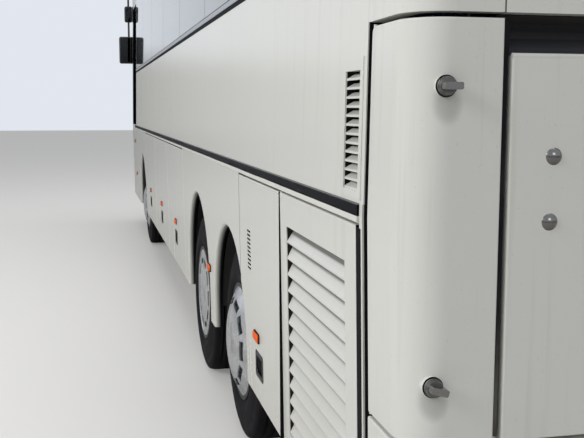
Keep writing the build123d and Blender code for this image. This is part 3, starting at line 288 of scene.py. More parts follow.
SIDES = ((1, "left"), (-1, "right"))
HOLD_STATIONS = {"left": (-1.304, 0.0, 1.422, 2.864), "right": (-0.466, 1.190, 2.864)}
SERVICE_PULL = (-4.175, 0.607)
SERVICE_MARKER = (-4.135, 0.725)
HOLD_PULL_Z = 0.662
HOLD_MARKER_Z = 0.787
flap_fittings = {f"service_flap_{word}": (side, *SERVICE_PULL, *SERVICE_MARKER) for side, word in SIDES}
for side, word in SIDES:
    stations = HOLD_STATIONS[word]
    for i, ends in enumerate(zip(stations, stations[1:]), 1):
        middle = sum(ends) / 2
        flap_fittings[f"luggage_flap_{word}_{i}"] = (side, middle, HOLD_PULL_Z, middle, HOLD_MARKER_Z)

BELT_Z = 1.42
SKIN_HALF = 1.25
LEAN = 0.018


def skin_y(z):
    """Half-width of the side's skin at a height."""
    return SKIN_HALF - LEAN * abs(z - BELT_Z)


def mix_value(tree, factor, first, second):
    """Mix two values, each a socket or a number."""
    made = node(tree, "ShaderNodeMix", data_type="FLOAT")
    sockets = (made.inputs["Factor"], made.inputs[2], made.inputs[3])
    for socket, value in zip(sockets, (factor, first, second)):
        feed(tree, socket, value)
    return made.outputs[0]


def toned(color, tone):
    """A colour made darker or lighter."""
    return [min(1.0, tone * part) for part in color[:3]] + [1]


def masked_paint(name, layers):
    """Body paint with other finishes and painted shade let in: each layer is a mask maker, colour, roughness
    and metal.
    """
    material, tree, shader = new_material(f"{name}_paint")
    film = use_film(tree, shader, Paint=OFF_WHITE)
    place = object_place(tree)
    color, rough, metal, gloss = film["Color"], film["Roughness"], 0.0, PAINT_GLOSS
    for maker, finish_and_shade, roughness, metallic in layers:
        mask = maker(tree, place)
        fine = noise(tree, place, 240.0, 2.0)
        worn = blend_color(tree, fine, toned(finish_and_shade, 0.75), toned(finish_and_shade, 1.2))
        color = blend_color(tree, mask, color, worn)
        rough = mix_value(tree, mask, rough, roughness)
        gloss = mix_value(tree, mask, gloss, 0.5 if roughness < 0.1 or metallic else 0.0)
        if metallic or metal:
            metal = mix_value(tree, mask, metal, metallic)
    shader.inputs["Specular IOR Level"].default_value = PAINT_GLOSS
    fill(tree, shader, Base_Color=color, Roughness=rough, Specular_IOR_Level=gloss, Metallic=metal)
    dress(material, name)


WALL_DEEP = 0.2


def deep_mask(x, z, depth, full=None, amount=1.0):
    """Maker of a mask below the sides' leaning skin; it deepens softly where full is given."""
    def maker(tree, place):
        parts = axes(tree, place)
        lean = math_node(tree, "ABSOLUTE", math_node(tree, "SUBTRACT", parts["Z"], BELT_Z))
        skin = math_node(tree, "SUBTRACT", SKIN_HALF, math_node(tree, "MULTIPLY", lean, LEAN))
        sunk = math_node(tree, "SUBTRACT", skin, math_node(tree, "ABSOLUTE", parts["Y"]))
        if full:
            below = ramp(tree, sunk, depth, full, 0.0, amount)
        else:
            below = math_node(tree, "GREATER_THAN", sunk, depth)
        near_wall = math_node(tree, "LESS_THAN", sunk, WALL_DEEP)
        area = inside_box(tree, place, (x[0], None, z[0]), (x[1], None, z[1]))
        return math_node(tree, "MULTIPLY", below, near_wall, area)
    return maker


MOULDED = (0.020, 0.020, 0.023, 1)
SHADE = (0.009, 0.009, 0.010, 1)
WALL_Z = (0.40, 3.40)


def gap_shade_layer(x, depth, finish_and_shade=SHADE):
    """Painted shade on the faces that close the gap beside a panel, between two stations and below a depth.
    """
    return (deep_mask(x, WALL_Z, depth), finish_and_shade, 0.7, 0.0)


INSIDE_Y = 0.9
OUTSIDE_Y = 1.4


def fitting_mask(side, x, z, half, depth):
    """Maker of a mask on a fitting: depth is below the skin where negative, or else above it."""
    def maker(tree, place):
        y = skin_y(z) + depth
        span = (INSIDE_Y, y) if depth < 0 else (y, OUTSIDE_Y)
        low_y, high_y = span if side > 0 else (-span[1], -span[0])
        return inside_box(tree, place, (x - half[0], low_y, z - half[1]), (x + half[0], high_y, z + half[1]))
    return maker


PULL_HALF = (0.0625, 0.0415)
PULL_DEPTH = 0.00135
MARKER_HALF = (0.0605, 0.0215)
SEAT_FOOT = 0.0012


def seat_layer(side, x, z, half=MARKER_HALF):
    """The black moulded seat of one marker."""
    return (fitting_mask(side, x, z, half, SEAT_FOOT), MOULDED, 0.48, 0.0)


def edge_shade_band(x, z_top, width, spread):
    """Maker of a mask of painted shade on a flap's rear edge, beside its rubber blade, as wide as said at its
    top and wider downwards.
    """
    def maker(tree, place):
        parts = axes(tree, place)
        down = math_node(tree, "MULTIPLY", math_node(tree, "SUBTRACT", z_top, parts["Z"]), spread)
        return math_node(tree, "LESS_THAN", parts["X"], math_node(tree, "ADD", down, x + width))
    return maker


ARCHES = {"tag": (-3.340, 0.530, 0.565), "drive": (-2.080, 0.552, 0.597), "front": (3.500, 0.560, 0.560)}
ARCH_ROOM = 0.001
ARCH_FOOT = 0.20
ARCH_SHADE = (0.012, 0.036)


def arch_shade_layer(name):
    """Painted shade in the reveal of a wheel arch, behind its rolled lip."""
    x, radius, middle_z = ARCHES[name]
    reach = radius + ARCH_ROOM
    return (deep_mask((x - reach, x + reach), (ARCH_FOOT, middle_z + reach), *ARCH_SHADE), SHADE, 0.8, 0.0)


SLOTS_X = (-4.0215, -3.9385)
SLOTS_Z = (0.9885, 1.1755)
SLOTS_DEPTH = 0.0012
SERVICE_EDGE = -4.635
SERVICE_TOP = 1.387
SERVICE_JOINT = (-3.7515, -3.7465)
HOLD_SPAN = (-1.4, 2.9)
JOINT_DEPTH = 0.0040
for name, (side, pull_x, pull_z, marker_x, marker_z) in flap_fittings.items():
    layers = [(fitting_mask(side, pull_x, pull_z, PULL_HALF, -PULL_DEPTH), MOULDED, 0.48, 0.0),
              seat_layer(side, marker_x, marker_z)]
    # The service flaps also take painted shade in the tag arch's reveal, inside the vent slots, along the
    # rear edge and in the joint at the front end; the luggage flaps take painted shade in their joints.
    if name.startswith("service"):
        layers += [arch_shade_layer("tag"), (deep_mask(SLOTS_X, SLOTS_Z, SLOTS_DEPTH), SHADE, 0.8, 0.0),
                   (edge_shade_band(SERVICE_EDGE, SERVICE_TOP, 0.010, 0.020), SHADE, 0.7, 0.0),
                   gap_shade_layer(SERVICE_JOINT, JOINT_DEPTH)]
    else:
        layers.append(gap_shade_layer(HOLD_SPAN, 0.0045))
    masked_paint(name, layers)


# Pull bezels: black moulded frames with rounded corners, screwed on the skin
# round the recessed pulls. Each follows the slight lean of its flap.
def sweep(bm, faces, along):
    """Extrude faces along a vector."""
    swept = bmesh.ops.extrude_face_region(bm, geom=faces)["geom"]
    bmesh.ops.translate(bm, vec=along, verts=[v for v in swept if isinstance(v, bmesh.types.BMVert)])


black_moulding, tree, shader = new_material("black_moulding")
grain = noise(tree, object_place(tree), 320.0, 2.0)
fill(tree, shader, Base_Color=blend_color(tree, grain, (0.012, 0.012, 0.014, 1), (0.030, 0.030, 0.033, 1)),
     Roughness=ramp(tree, grain, 0.3, 0.7, 0.40, 0.55), Specular_IOR_Level=0.3)
BEZEL_OUT = (0.160, 0.112)
BEZEL_RIM = 0.020
BEZEL_THICK = 0.0022
BEZEL_CORNER = 0.016
for name, (side, pull_x, pull_z, _, _) in flap_fittings.items():
    bm = bmesh.new()
    made = bmesh.ops.create_grid(bm, x_segments=1, y_segments=1, size=0.5)["verts"]
    bmesh.ops.rotate(bm, cent=(0, 0, 0), matrix=Matrix.Rotation(math.radians(90), 3, "X"), verts=made)
    bmesh.ops.scale(bm, vec=(BEZEL_OUT[0], 1.0, BEZEL_OUT[1]), verts=made)
    bmesh.ops.bevel(bm, geom=bm.verts[:], offset=BEZEL_CORNER, segments=4, profile=0.5, affect="VERTICES",
                    material=-1)
    bmesh.ops.inset_region(bm, faces=bm.faces[:], thickness=BEZEL_RIM, use_boundary=True,
                           use_even_offset=True)
    middle = min(bm.faces, key=lambda f: f.calc_center_median().length)
    bmesh.ops.delete(bm, geom=[middle], context="FACES_ONLY")
    sweep(bm, bm.faces[:], (0, side * BEZEL_THICK, 0))
    for v in bm.verts:
        v.co.y += side * skin_y(pull_z + v.co.z)
    bmesh.ops.translate(bm, vec=(pull_x, 0, pull_z), verts=bm.verts)
    bmesh.ops.recalc_face_normals(bm, faces=bm.faces)
    bezel = mesh_object(bm, f"{name}_bezel", black_moulding, smooth=False)
    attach(bezel, name)


# Side markers: amber ribbed lenses, clipped on their raised black seats along
# the sides, with a smaller indicator on each front corner.
def bands(tree, place, axis, scale):
    """Even ribs across one axis, from 0 to 1."""
    made = node(tree, "ShaderNodeTexWave", wave_type="BANDS", bands_direction=axis)
    fill(tree, made, Vector=place, Scale=scale)
    return made.outputs["Fac"]


amber, tree, shader = new_material("amber_lens")
ribs = bands(tree, object_place(tree), "X", 62.0)
depth = blend_color(tree, ramp(tree, ribs, 0.1, 0.9), (0.86, 0.100, 0.0, 1), (1.0, 0.150, 0.001, 1))
fill(tree, shader, Base_Color=depth, Roughness=0.22, Specular_IOR_Level=0.06,
     Normal=bump(tree, ribs, 0.35, 0.0015))

POST_MARKER = (-2.650, 0.765)
FRONT_MARKER = (4.790, 0.784)
INDICATORS = {"left": (5.010, 1.224), "right": (5.570, 1.224)}
MARKER_LENS = (0.110, 0.034)
INDICATOR_LENS = (0.062, 0.033)
LENS_RISE = 0.0055
LENS_CORNER = 0.011
LENS_EDGE = 0.0028
SEAT_RISE = 0.006
lens_places = {}
for name, (side, _, _, marker_x, marker_z) in flap_fittings.items():
    lens_places[f"{name}_lens"] = (name, side, marker_x, marker_z, MARKER_LENS)
for side, word in SIDES:
    lens_places[f"post_lens_{word}"] = ("body", side, *POST_MARKER, MARKER_LENS)
lens_places["front_marker_lens"] = ("body", 1, *FRONT_MARKER, MARKER_LENS)
for side, word in SIDES:
    lens_places[f"indicator_lens_{word}"] = ("body", side, *INDICATORS[word], INDICATOR_LENS)
for name, (body, side, x, z, size) in lens_places.items():
    bm = bmesh.new()
    bmesh.ops.create_cube(bm, size=1.0)
    bmesh.ops.scale(bm, vec=(size[0], 2 * LENS_RISE, size[1]), verts=bm.verts)
    corners = [e for e in bm.edges if abs(e.verts[0].co.y - e.verts[1].co.y) > LENS_RISE]
    bmesh.ops.bevel(bm, geom=corners, offset=LENS_CORNER, segments=5, profile=0.5, affect="EDGES",
                    material=-1)
    rim = [e for e in bm.edges if all(v.co.y * side > LENS_RISE * 0.9 for v in e.verts)]
    bmesh.ops.bevel(bm, geom=rim, offset=LENS_EDGE, segments=3, profile=0.5, affect="EDGES", material=-1)
    bmesh.ops.translate(bm, vec=(x, side * (skin_y(z) + SEAT_RISE), z), verts=bm.verts)
    lens = mesh_object(bm, name, amber)
    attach(lens, body)


# Fixed panels: the quarters round the wheel arches, and the front panels, with
# the raised black seats of their markers and indicators.
DRIVER_LOW = (4.650, 0.95, 1.452)
DRIVER_HIGH = (5.452, 1.40, 3.060)
INDICATOR_HALF = (0.036, 0.021)
QUARTER_JOINTS = ((-3.7415, -3.7385), (-1.3095, -1.3065))
FRONT_JOINT = (2.8665, 2.8695)


def window_surround(tree, place):
    """Black paint round the driver's window, down to the belt line."""
    return inside_box(tree, place, DRIVER_LOW, DRIVER_HIGH)


# Painted shade lies in the arch reveals and in the joints between panels.
masked_paint("rear_quarters", [*[seat_layer(side, *POST_MARKER) for side, _ in SIDES], arch_shade_layer("tag"),
                               arch_shade_layer("drive"), *[gap_shade_layer(x, JOINT_DEPTH) for x in QUARTER_JOINTS]])
masked_paint("front_quarters", [arch_shade_layer("front"), gap_shade_layer(FRONT_JOINT, JOINT_DEPTH)])
masked_paint("front_bumper", [seat_layer(1, *FRONT_MARKER)])
masked_paint("front_shell", [*[seat_layer(side, *INDICATORS[word], INDICATOR_HALF) for side, word in SIDES],
                             (window_surround, SHADE, 0.6, 0.0)])


# Glazing: dark bonded safety glass, tinted grey-green, over black seams, a
# darker driver's window, and a clear windscreen with a black printed border.
GLASS_IOR = 1.5
glass, tree, shader = new_material("tinted_glass")
dark = inside_box(tree, object_place(tree), (4.700, None, 1.4), (5.5, None, 3.1))
facing = node(tree, "ShaderNodeLayerWeight").outputs["Facing"]
fill(tree, shader, Base_Color=blend_color(tree, dark, (0.20, 0.235, 0.235, 1), (0.010, 0.012, 0.013, 1)),
     Roughness=0.02, Transmission_Weight=0.85, Coat_Weight=mix_value(tree, dark, 0.5, 0.0),
     IOR=mix_value(tree, dark, GLASS_IOR, ramp(tree, facing, 0.70, 0.92, 1.45, 1.0)))
dress(glass, "glazing")
clear_glass, tree, shader = new_material("windscreen_glass")
clear = inside_box(tree, object_place(tree), (5.500, None, 1.305), (7.0, None, 3.130))
fill(tree, shader, Base_Color=blend_color(tree, clear, (0.004, 0.004, 0.005, 1), (0.62, 0.70, 0.68, 1)),
     Roughness=0.02, Transmission_Weight=0.95, IOR=GLASS_IOR)
dress(clear_glass, "windscreen")


# Belt strip: a black rubber insert, scuffed and dusty, pressed in a rail along both sides whose lower lip is
# painted in the body's colour. A pale band along the insert's top is a painted highlight, and a near-black
# band over the lip is painted shade.
INSERT_TOP = 1.4440
INSERT_FOOT = 1.4225
LIP_TOP = 1.4165
belt_rubber, tree, shader = new_material("belt_rubber")
place = object_place(tree)
dust = ramp(tree, noise(tree, stretch(tree, place, (3.0, 30.0, 90.0)), 1.0, 4.0), 0.45, 0.8, 0.0, 0.6)
scuff = ramp(tree, noise(tree, stretch(tree, place, (9.0, 60.0, 160.0)), 1.0, 3.0), 0.60, 0.72, 0.0, 0.55)
color = blend_color(tree, dust, (0.0065, 0.007, 0.010, 1), (0.022, 0.022, 0.025, 1))
color = blend_color(tree, scuff, color, (0.055, 0.055, 0.056, 1))
wave = math_node(tree, "MULTIPLY", noise(tree, stretch(tree, place, (1.2, 0.0, 0.0)), 1.0, 3.0), 0.004)
edge = math_node(tree, "ADD", axes(tree, place)["Z"], wave)
# Painted highlight: a lighter band along the insert's top edge.
top = inside_box(tree, place, (-9.0, None, INSERT_TOP), (9.0, None, 1.5))
color = blend_color(tree, top, color, (0.16, 0.16, 0.155, 1))
# Painted shade: a near-black band at the insert's foot, over the lip.
foot = math_node(tree, "LESS_THAN", edge, INSERT_FOOT)
lip = math_node(tree, "LESS_THAN", edge, LIP_TOP)
color = blend_color(tree, foot, color, (0.004, 0.004, 0.005, 1))
fill(tree, shader, Base_Color=blend_color(tree, lip, color, OFF_WHITE), Specular_IOR_Level=0.02,
     Roughness=mix_value(tree, lip, ramp(tree, dust, 0.0, 0.6, 0.38, 0.62), 0.2))
dress(belt_rubber, "belt_trims")


# Running gear: steel chassis and axles in black paint under road grime, dull
# black plastic arch liners, and grained black plastics in the cab and outside.
chassis_black, tree, shader = new_material("chassis_black")
use_film(tree, shader, Paint=(0.028, 0.028, 0.03, 1), Film=(0.16, 0.135, 0.11, 1), Film_top=1.6,
         Film_amount=0.8, Gloss_roughness=0.45, Ripple=0.1)
dress(chassis_black, "chassis", "bulkheads", "engine", "front_axle", "drive_axle", "tag_axle", "knuckle_left",
      "knuckle_right")
liner, tree, shader = new_material("arch_liner")
use_film(tree, shader, Paint=(0.010, 0.010, 0.011, 1), Film=(0.045, 0.040, 0.034, 1), Film_top=1.2,
         Film_amount=0.7, Gloss_roughness=0.6, Ripple=0.1)
shader.inputs["Specular IOR Level"].default_value = 0.25
dress(liner, "wheel_housings")
black_plastic, tree, shader = new_material("black_plastic")
grain = noise(tree, object_place(tree), 420.0, 2.0)
fill(tree, shader, Base_Color=blend_color(tree, grain, (0.010, 0.010, 0.012, 1), (0.022, 0.022, 0.024, 1)),
     Roughness=ramp(tree, grain, 0.3, 0.7, 0.36, 0.52), Normal=bump(tree, grain, 0.25, 0.0006))
dress(black_plastic, "dash", "steering_wheel", "mirrors", "wipers")


# Saloon and cab: speckled grey vinyl glued on the plywood floor, and seats
# covered in dark blue woven fabric with pale flecks.
vinyl, tree, shader = new_material("floor_vinyl")
speck = ramp(tree, noise(tree, object_place(tree), 260.0, 1.0), 0.55, 0.7)
fill(tree, shader, Base_Color=blend_color(tree, speck, (0.055, 0.057, 0.062, 1), (0.16, 0.16, 0.165, 1)),
     Roughness=0.55)
dress(vinyl, "saloon_floor")
fabric, tree, shader = new_material("seat_fabric")
place = object_place(tree)
weave = bands(tree, place, "Z", 160.0)
fleck = math_node(tree, "MULTIPLY", ramp(tree, noise(tree, place, 90.0, 2.0), 0.55, 0.65), 0.5)
color = blend_color(tree, weave, (0.012, 0.018, 0.045, 1), (0.028, 0.038, 0.085, 1))
fill(tree, shader, Base_Color=blend_color(tree, fleck, color, (0.16, 0.17, 0.22, 1)), Roughness=0.9,
     Sheen_Weight=0.4, Normal=bump(tree, weave, 0.4, 0.001))
dress(fabric, "seats")


# Tyres: road tyres with four circumferential grooves between plain ribs, and
# ringed sidewalls. Each replaces the plain solid of its wheel.
tyre_rubber, tree, shader = new_material("tyre_rubber")
place = object_place(tree)
dust = ramp(tree, noise(tree, place, 6.0, 4.0), 0.4, 0.75, 0.0, 0.5)
fine = noise(tree, place, 180.0, 2.0)
color = blend_color(tree, dust, (0.008, 0.008, 0.010, 1), (0.026, 0.024, 0.022, 1))
color = blend_color(tree, ramp(tree, fine, 0.55, 0.8, 0.0, 0.3), color, (0.05, 0.046, 0.042, 1))
fill(tree, shader, Base_Color=color, Roughness=ramp(tree, dust, 0.0, 0.5, 0.62, 0.85),
     Specular_IOR_Level=0.05, Normal=bump(tree, fine, 0.3, 0.0008))

AXLE_Z = 0.5
TREAD_R = AXLE_Z - 0.0009
TYRE_HALF = 0.145
WHEEL_PLACES = {"front": (3.5, 1.040), "drive": (-2.08, 1.066), "tag": (-3.34, 1.040)}
TWIN = 0.325
SIDEWALL = (  # radius, and how far in from the tyre's widest plane
    (0.286, 0.022), (0.300, 0.0155), (0.312, 0.0135), (0.318, 0.0085), (0.345, 0.0025), (0.352, 0.0005),
    (0.360, 0.0020), (0.385, 0.0002), (0.392, 0.0022), (0.405, 0.0022), (0.432, 0.0095), (0.446, 0.0135),
    (0.449, 0.0105), (0.474, 0.0185), (0.486, 0.0245), (0.4915, 0.031), (0.4955, 0.046), (0.4985, 0.062),
)
GROOVES = (-0.076, -0.027, 0.027, 0.076)
GROOVE_W = 0.0062
GROOVE_D = 0.013


def tyre_mesh(bm, plane_y):
    """Spin one tyre's section round the axle line."""
    section = [(r, inward - TYRE_HALF) for r, inward in SIDEWALL]
    for middle in GROOVES:
        section += [(TREAD_R, middle - GROOVE_W), (TREAD_R - GROOVE_D, middle - GROOVE_W * 0.6),
                    (TREAD_R - GROOVE_D, middle + GROOVE_W * 0.6), (TREAD_R, middle + GROOVE_W)]
    section += [(r, TYRE_HALF - inward) for r, inward in reversed(SIDEWALL)]
    verts = [bm.verts.new((0.0, plane_y + y, r)) for r, y in section]
    edges = [bm.edges.new(pair) for pair in zip(verts, verts[1:])]
    edges.append(bm.edges.new((verts[-1], verts[0])))
    bmesh.ops.spin(bm, geom=verts + edges, cent=(0, 0, 0), axis=(0, 1, 0), dvec=(0, 0, 0), angle=math.tau,
                   steps=96, use_merge=True, use_duplicate=False)


for name, (x, plane_y) in WHEEL_PLACES.items():
    for side, word in SIDES:
        planes = [plane_y, plane_y - TWIN] if name == "drive" else [plane_y]
        bm = bmesh.new()
        for y in planes:
            tyre_mesh(bm, side * y)
        bmesh.ops.remove_doubles(bm, verts=bm.verts, dist=1e-5)
        bmesh.ops.recalc_face_normals(bm, faces=bm.faces)
        bmesh.ops.translate(bm, vec=(x, 0, AXLE_Z), verts=bm.verts)
        plural = "tyres" if name == "drive" else "tyre"
        tyre = mesh_object(bm, f"{name}_{plural}_tread_{word}", tyre_rubber)
        body = f"{name}_wheel_{word}"
        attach(tyre, body)
        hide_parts(f"{name}_{plural}_{word}")


# Wheels: painted steel rims under slotted, pressed covers of brushed stainless
# steel, clipped in the rims and dulled by brake dust.
def square_sum(tree, first, second):
    """The squares of two values, added up."""
    return math_node(tree, "ADD", math_node(tree, "MULTIPLY", first, first),
                     math_node(tree, "MULTIPLY", second, second))


COVER_R = 0.2772
RIM_R = 0.4
cover_steel, tree, shader = new_material("wheel_cover_steel")
place = object_place(tree)
wear = ramp(tree, noise(tree, place, 9.0, 4.0), 0.38, 0.72)
fine = ramp(tree, noise(tree, place, 120.0, 2.0), 0.4, 0.8)
color = blend_color(tree, wear, (0.62, 0.63, 0.65, 1), (0.38, 0.385, 0.39, 1))
color = blend_color(tree, math_node(tree, "MULTIPLY", fine, 0.12), color, (0.16, 0.14, 0.12, 1))
parts = axes(tree, place)
up = math_node(tree, "SUBTRACT", parts["Z"], AXLE_Z)
rings = []
for x, _ in WHEEL_PLACES.values():
    square = square_sum(tree, math_node(tree, "SUBTRACT", parts["X"], x), up)
    rings.append(math_node(tree, "MULTIPLY", math_node(tree, "GREATER_THAN", square, COVER_R ** 2),
                           math_node(tree, "LESS_THAN", square, RIM_R ** 2)))
rim = math_node(tree, "MAXIMUM", *rings)
fill(tree, shader, Base_Color=blend_color(tree, rim, color, (0.022, 0.021, 0.021, 1)),
     Metallic=mix_value(tree, rim, 0.85, 0.2), Normal=bump(tree, noise(tree, place, 40.0, 1.0), 0.05, 0.001),
     Roughness=mix_value(tree, rim, ramp(tree, wear, 0.0, 1.0, 0.26, 0.46), 0.55))
dress(cover_steel, *[f"{name}_wheel_{word}" for name in WHEEL_PLACES for _, word in SIDES])


# Lamps: fluted rear clusters in amber, red and white, and headlamps with two
# round reflectors each behind a fluted clear cover.
def disc_mask(y, z, radius, x_from, x_to):
    """Maker of a mask on a round fitting that faces along the coach, on both sides."""
    def maker(tree, place):
        parts = axes(tree, place)
        across = math_node(tree, "SUBTRACT", math_node(tree, "ABSOLUTE", parts["Y"]), y)
        square = square_sum(tree, across, math_node(tree, "SUBTRACT", parts["Z"], z))
        return math_node(tree, "MULTIPLY", math_node(tree, "LESS_THAN", square, radius * radius),
                         inside_box(tree, place, (x_from, None, None), (x_to, None, None)))
    return maker


AMBER_FROM = 1.03
REVERSE_TO = 0.93
HEADLAMP_Y = (0.785, 0.970)
HEADLAMP_Z = 0.710
CUP_R = 0.076
BULB_R = 0.020
rear_lens, tree, shader = new_material("rear_lens")
place = object_place(tree)
across = math_node(tree, "ABSOLUTE", axes(tree, place)["Y"])
outer_part = math_node(tree, "GREATER_THAN", across, AMBER_FROM)
color = blend_color(tree, outer_part, (0.42, 0.012, 0.012, 1), (0.72, 0.20, 0.02, 1))
color = blend_color(tree, math_node(tree, "LESS_THAN", across, REVERSE_TO), color, (0.62, 0.62, 0.62, 1))
fill(tree, shader, Base_Color=color, Roughness=0.12, Coat_Weight=0.7,
     Normal=bump(tree, bands(tree, place, "Z", 45.0), 0.3, 0.0015))
dress(rear_lens, "tail_lamps")
head_lens, tree, shader = new_material("headlamp_lens")
place = object_place(tree)
silvered = blend_color(tree, bands(tree, place, "Y", 30.0), (0.5, 0.52, 0.55, 1), (0.86, 0.88, 0.90, 1))
cups, bulbs = [
    math_node(tree, "MAXIMUM", *[disc_mask(y, HEADLAMP_Z, radius, 4.0, 7.0)(tree, place) for y in HEADLAMP_Y])
    for radius in (CUP_R, BULB_R)
]
color = blend_color(tree, bulbs, silvered, (0.10, 0.10, 0.11, 1))
fill(tree, shader, Base_Color=blend_color(tree, cups, (0.045, 0.046, 0.05, 1), color), Roughness=0.14,
     Metallic=mix_value(tree, cups, 0.1, 0.9), Coat_Weight=1.0)
dress(head_lens, "headlamps")


# Seats: foam cushions and raked backs in fabric covers, sewn with a seam along
# each bolster, on black steel pedestals. They stand in pairs beside the aisle.
SALOON_Z = 1.380
CAB_Z = 1.030
SEAT_WIDE = 0.429
SEAT_GAP = 0.012
AISLE_Y = 0.260
RIGHT_PAIR_Y = -1.130
ROW_COUNT = 11
ROW_FRONT = 3.9
ROW_PITCH = 0.79
MID_DOOR_ROOM = (-1.880, -0.210)
DRIVER_X = 4.76
DRIVER_Y = 0.42
seat_spots = []
for i in range(ROW_COUNT):
    x = ROW_FRONT - ROW_PITCH * i
    for low, skipped in ((AISLE_Y, False), (RIGHT_PAIR_Y, MID_DOOR_ROOM[0] < x < MID_DOOR_ROOM[1])):
        if not skipped:
            second = low + SEAT_WIDE * 1.5 + SEAT_GAP
            seat_spots += [(x, low + SEAT_WIDE / 2, SALOON_Z), (x, second, SALOON_Z)]
seat_spots.append((DRIVER_X, DRIVER_Y + SEAT_WIDE / 2, CAB_Z))


def curve_value(points, t):
    """Value at t on a line through (t, value) points."""
    for (a, first), (b, second) in zip(points, points[1:]):
        if t <= b:
            return first + (second - first) * (t - a) / (b - a)
    return points[-1][1]


SEAM_AT = 0.66
SEAM_SUNK = 0.009
SEAM_WIDE = 0.05
BOLSTER_RISE = 0.016


def pad(bm, spot, middle_x, middle_z, thick, width, up):
    """One stuffed pad: rows run along it, columns across, both faces crowned."""
    across, along = 12, 14
    loops = {}
    for face in (1, -1):
        for i in range(along + 1):
            v = math.sin(math.pi / 2 * (2 * i / along - 1))
            t = (v + 1) / 2
            for j in range(across + 1):
                edge = i in (0, along) or j in (0, across)
                if edge and face < 0:
                    loops[face, i, j] = loops[1, i, j]
                    continue
                u = math.sin(math.pi / 2 * (2 * j / across - 1))
                swell = 0.0 if edge else ((1 - abs(u) ** 6) * (1 - abs(v) ** 10)) ** 0.35
                seam = SEAM_SUNK * math.exp(-((abs(u) - SEAM_AT) / SEAM_WIDE) ** 2)
                bolster = BOLSTER_RISE * max(0.0, abs(u) - SEAM_AT)
                lift = face * curve_value(thick, t) / 2 * swell + (bolster - seam if face > 0 else 0.0)
                x = spot[0] + curve_value(middle_x, t) + lift * up[0]
                z = spot[2] + curve_value(middle_z, t) + lift * up[1]
                loops[face, i, j] = bm.verts.new((x, spot[1] + u * curve_value(width, t) / 2, z))
    for face in (1, -1):
        for i in range(along):
            for j in range(across):
                ring = [loops[face, i + a, j + b] for a, b in ((0, 0), (0, 1), (1, 1), (1, 0))]
                bm.faces.new(ring if face > 0 else ring[::-1])


def block(bm, low, high):
    """A box between two corners; returns its vertices."""
    made = bmesh.ops.create_cube(bm, size=1.0)["verts"]
    bmesh.ops.scale(bm, vec=[b - a for a, b in zip(low, high)], verts=made)
    bmesh.ops.translate(bm, vec=[(a + b) / 2 for a, b in zip(low, high)], verts=made)
    return made


CUSHION = (  # along it: station, height, thickness and width; then the way its face looks
    [(0, 0.05), (1, 0.475)], [(0, 0.375), (1, 0.39)], [(0, 0.10), (0.6, 0.11), (1, 0.12)],
    [(0, SEAT_WIDE), (1, SEAT_WIDE - 0.01)], (0.0, 1.0),
)
BACKREST = (  # the same, from its foot up to the head rest
    [(0, 0.055), (0.35, -0.012), (0.7, -0.066), (1, -0.105)], [(0, 0.40), (1, 1.13)],
    [(0, 0.10), (0.3, 0.12), (0.68, 0.085), (0.84, 0.12), (1, 0.09)],
    [(0, SEAT_WIDE), (0.7, SEAT_WIDE - 0.01), (0.8, 0.33), (1, 0.29)], (0.97, 0.2),
)
bm = bmesh.new()
for spot in seat_spots:
    pad(bm, spot, *CUSHION)
    pad(bm, spot, *BACKREST)
bmesh.ops.recalc_face_normals(bm, faces=bm.faces)
cushions = mesh_object(bm, "seat_cushions", fabric)
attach(cushions, "body")
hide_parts("seats")
FRAME_BARS = (  # foot plate, post, seat pan, two side bars and the back's cross bar
    ((0.07, -0.20, 0.0), (0.32, 0.20, 0.012)), ((0.15, -0.03, 0.012), (0.25, 0.03, 0.31)),
    ((0.08, -0.19, 0.305), (0.42, 0.19, 0.33)), ((-0.04, -0.20, 0.30), (0.02, -0.18, 0.55)),
    ((-0.04, 0.18, 0.30), (0.02, 0.20, 0.55)), ((0.06, -0.20, 0.30), (0.09, 0.20, 0.33)),
)
bm = bmesh.new()
for spot in seat_spots:
    for low, high in FRAME_BARS:
        block(bm, [p + a for p, a in zip(spot, low)], [p + b for p, b in zip(spot, high)])
seat_frames = mesh_object(bm, "seat_frames", black_plastic, smooth=False)
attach(seat_frames, "body")
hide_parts("seats")


# Louvres: pressed slats in body colour. Behind them the opening is closed with
# black wire mesh on the engine doors and a black baffle on the side walls.
BLACK = (0.013, 0.013, 0.015, 1)
RUBBER = (0.012, 0.012, 0.014, 1)
SEAM_SHADE = (0.13, 0.13, 0.12, 1)
MESH_BROWN = (0.030, 0.026, 0.021, 1)
GRILLE_X = (-5.478, -4.748)
GRILLE_Z = (0.519, 1.278)
SLAT_SHADE = (0.0152, 0.0205, 0.85)
MESH_EDGE = (-4.7495, -4.7470)
DOOR_REAR = (-5.5815, -5.5760)
DOOR_FRONT = (-4.6470, -4.6415)
LOUVRE_X = (-5.601, -5.469)
LOUVRE_Z = (1.476, 1.785)
CORNER_JOINT = (-5.6515, -5.6495)
CORNER_POST = (-5.6415, -5.6385)
PANES_X = (-5.371, 4.631)
PANES_Z = (2.1805, 3.2395)
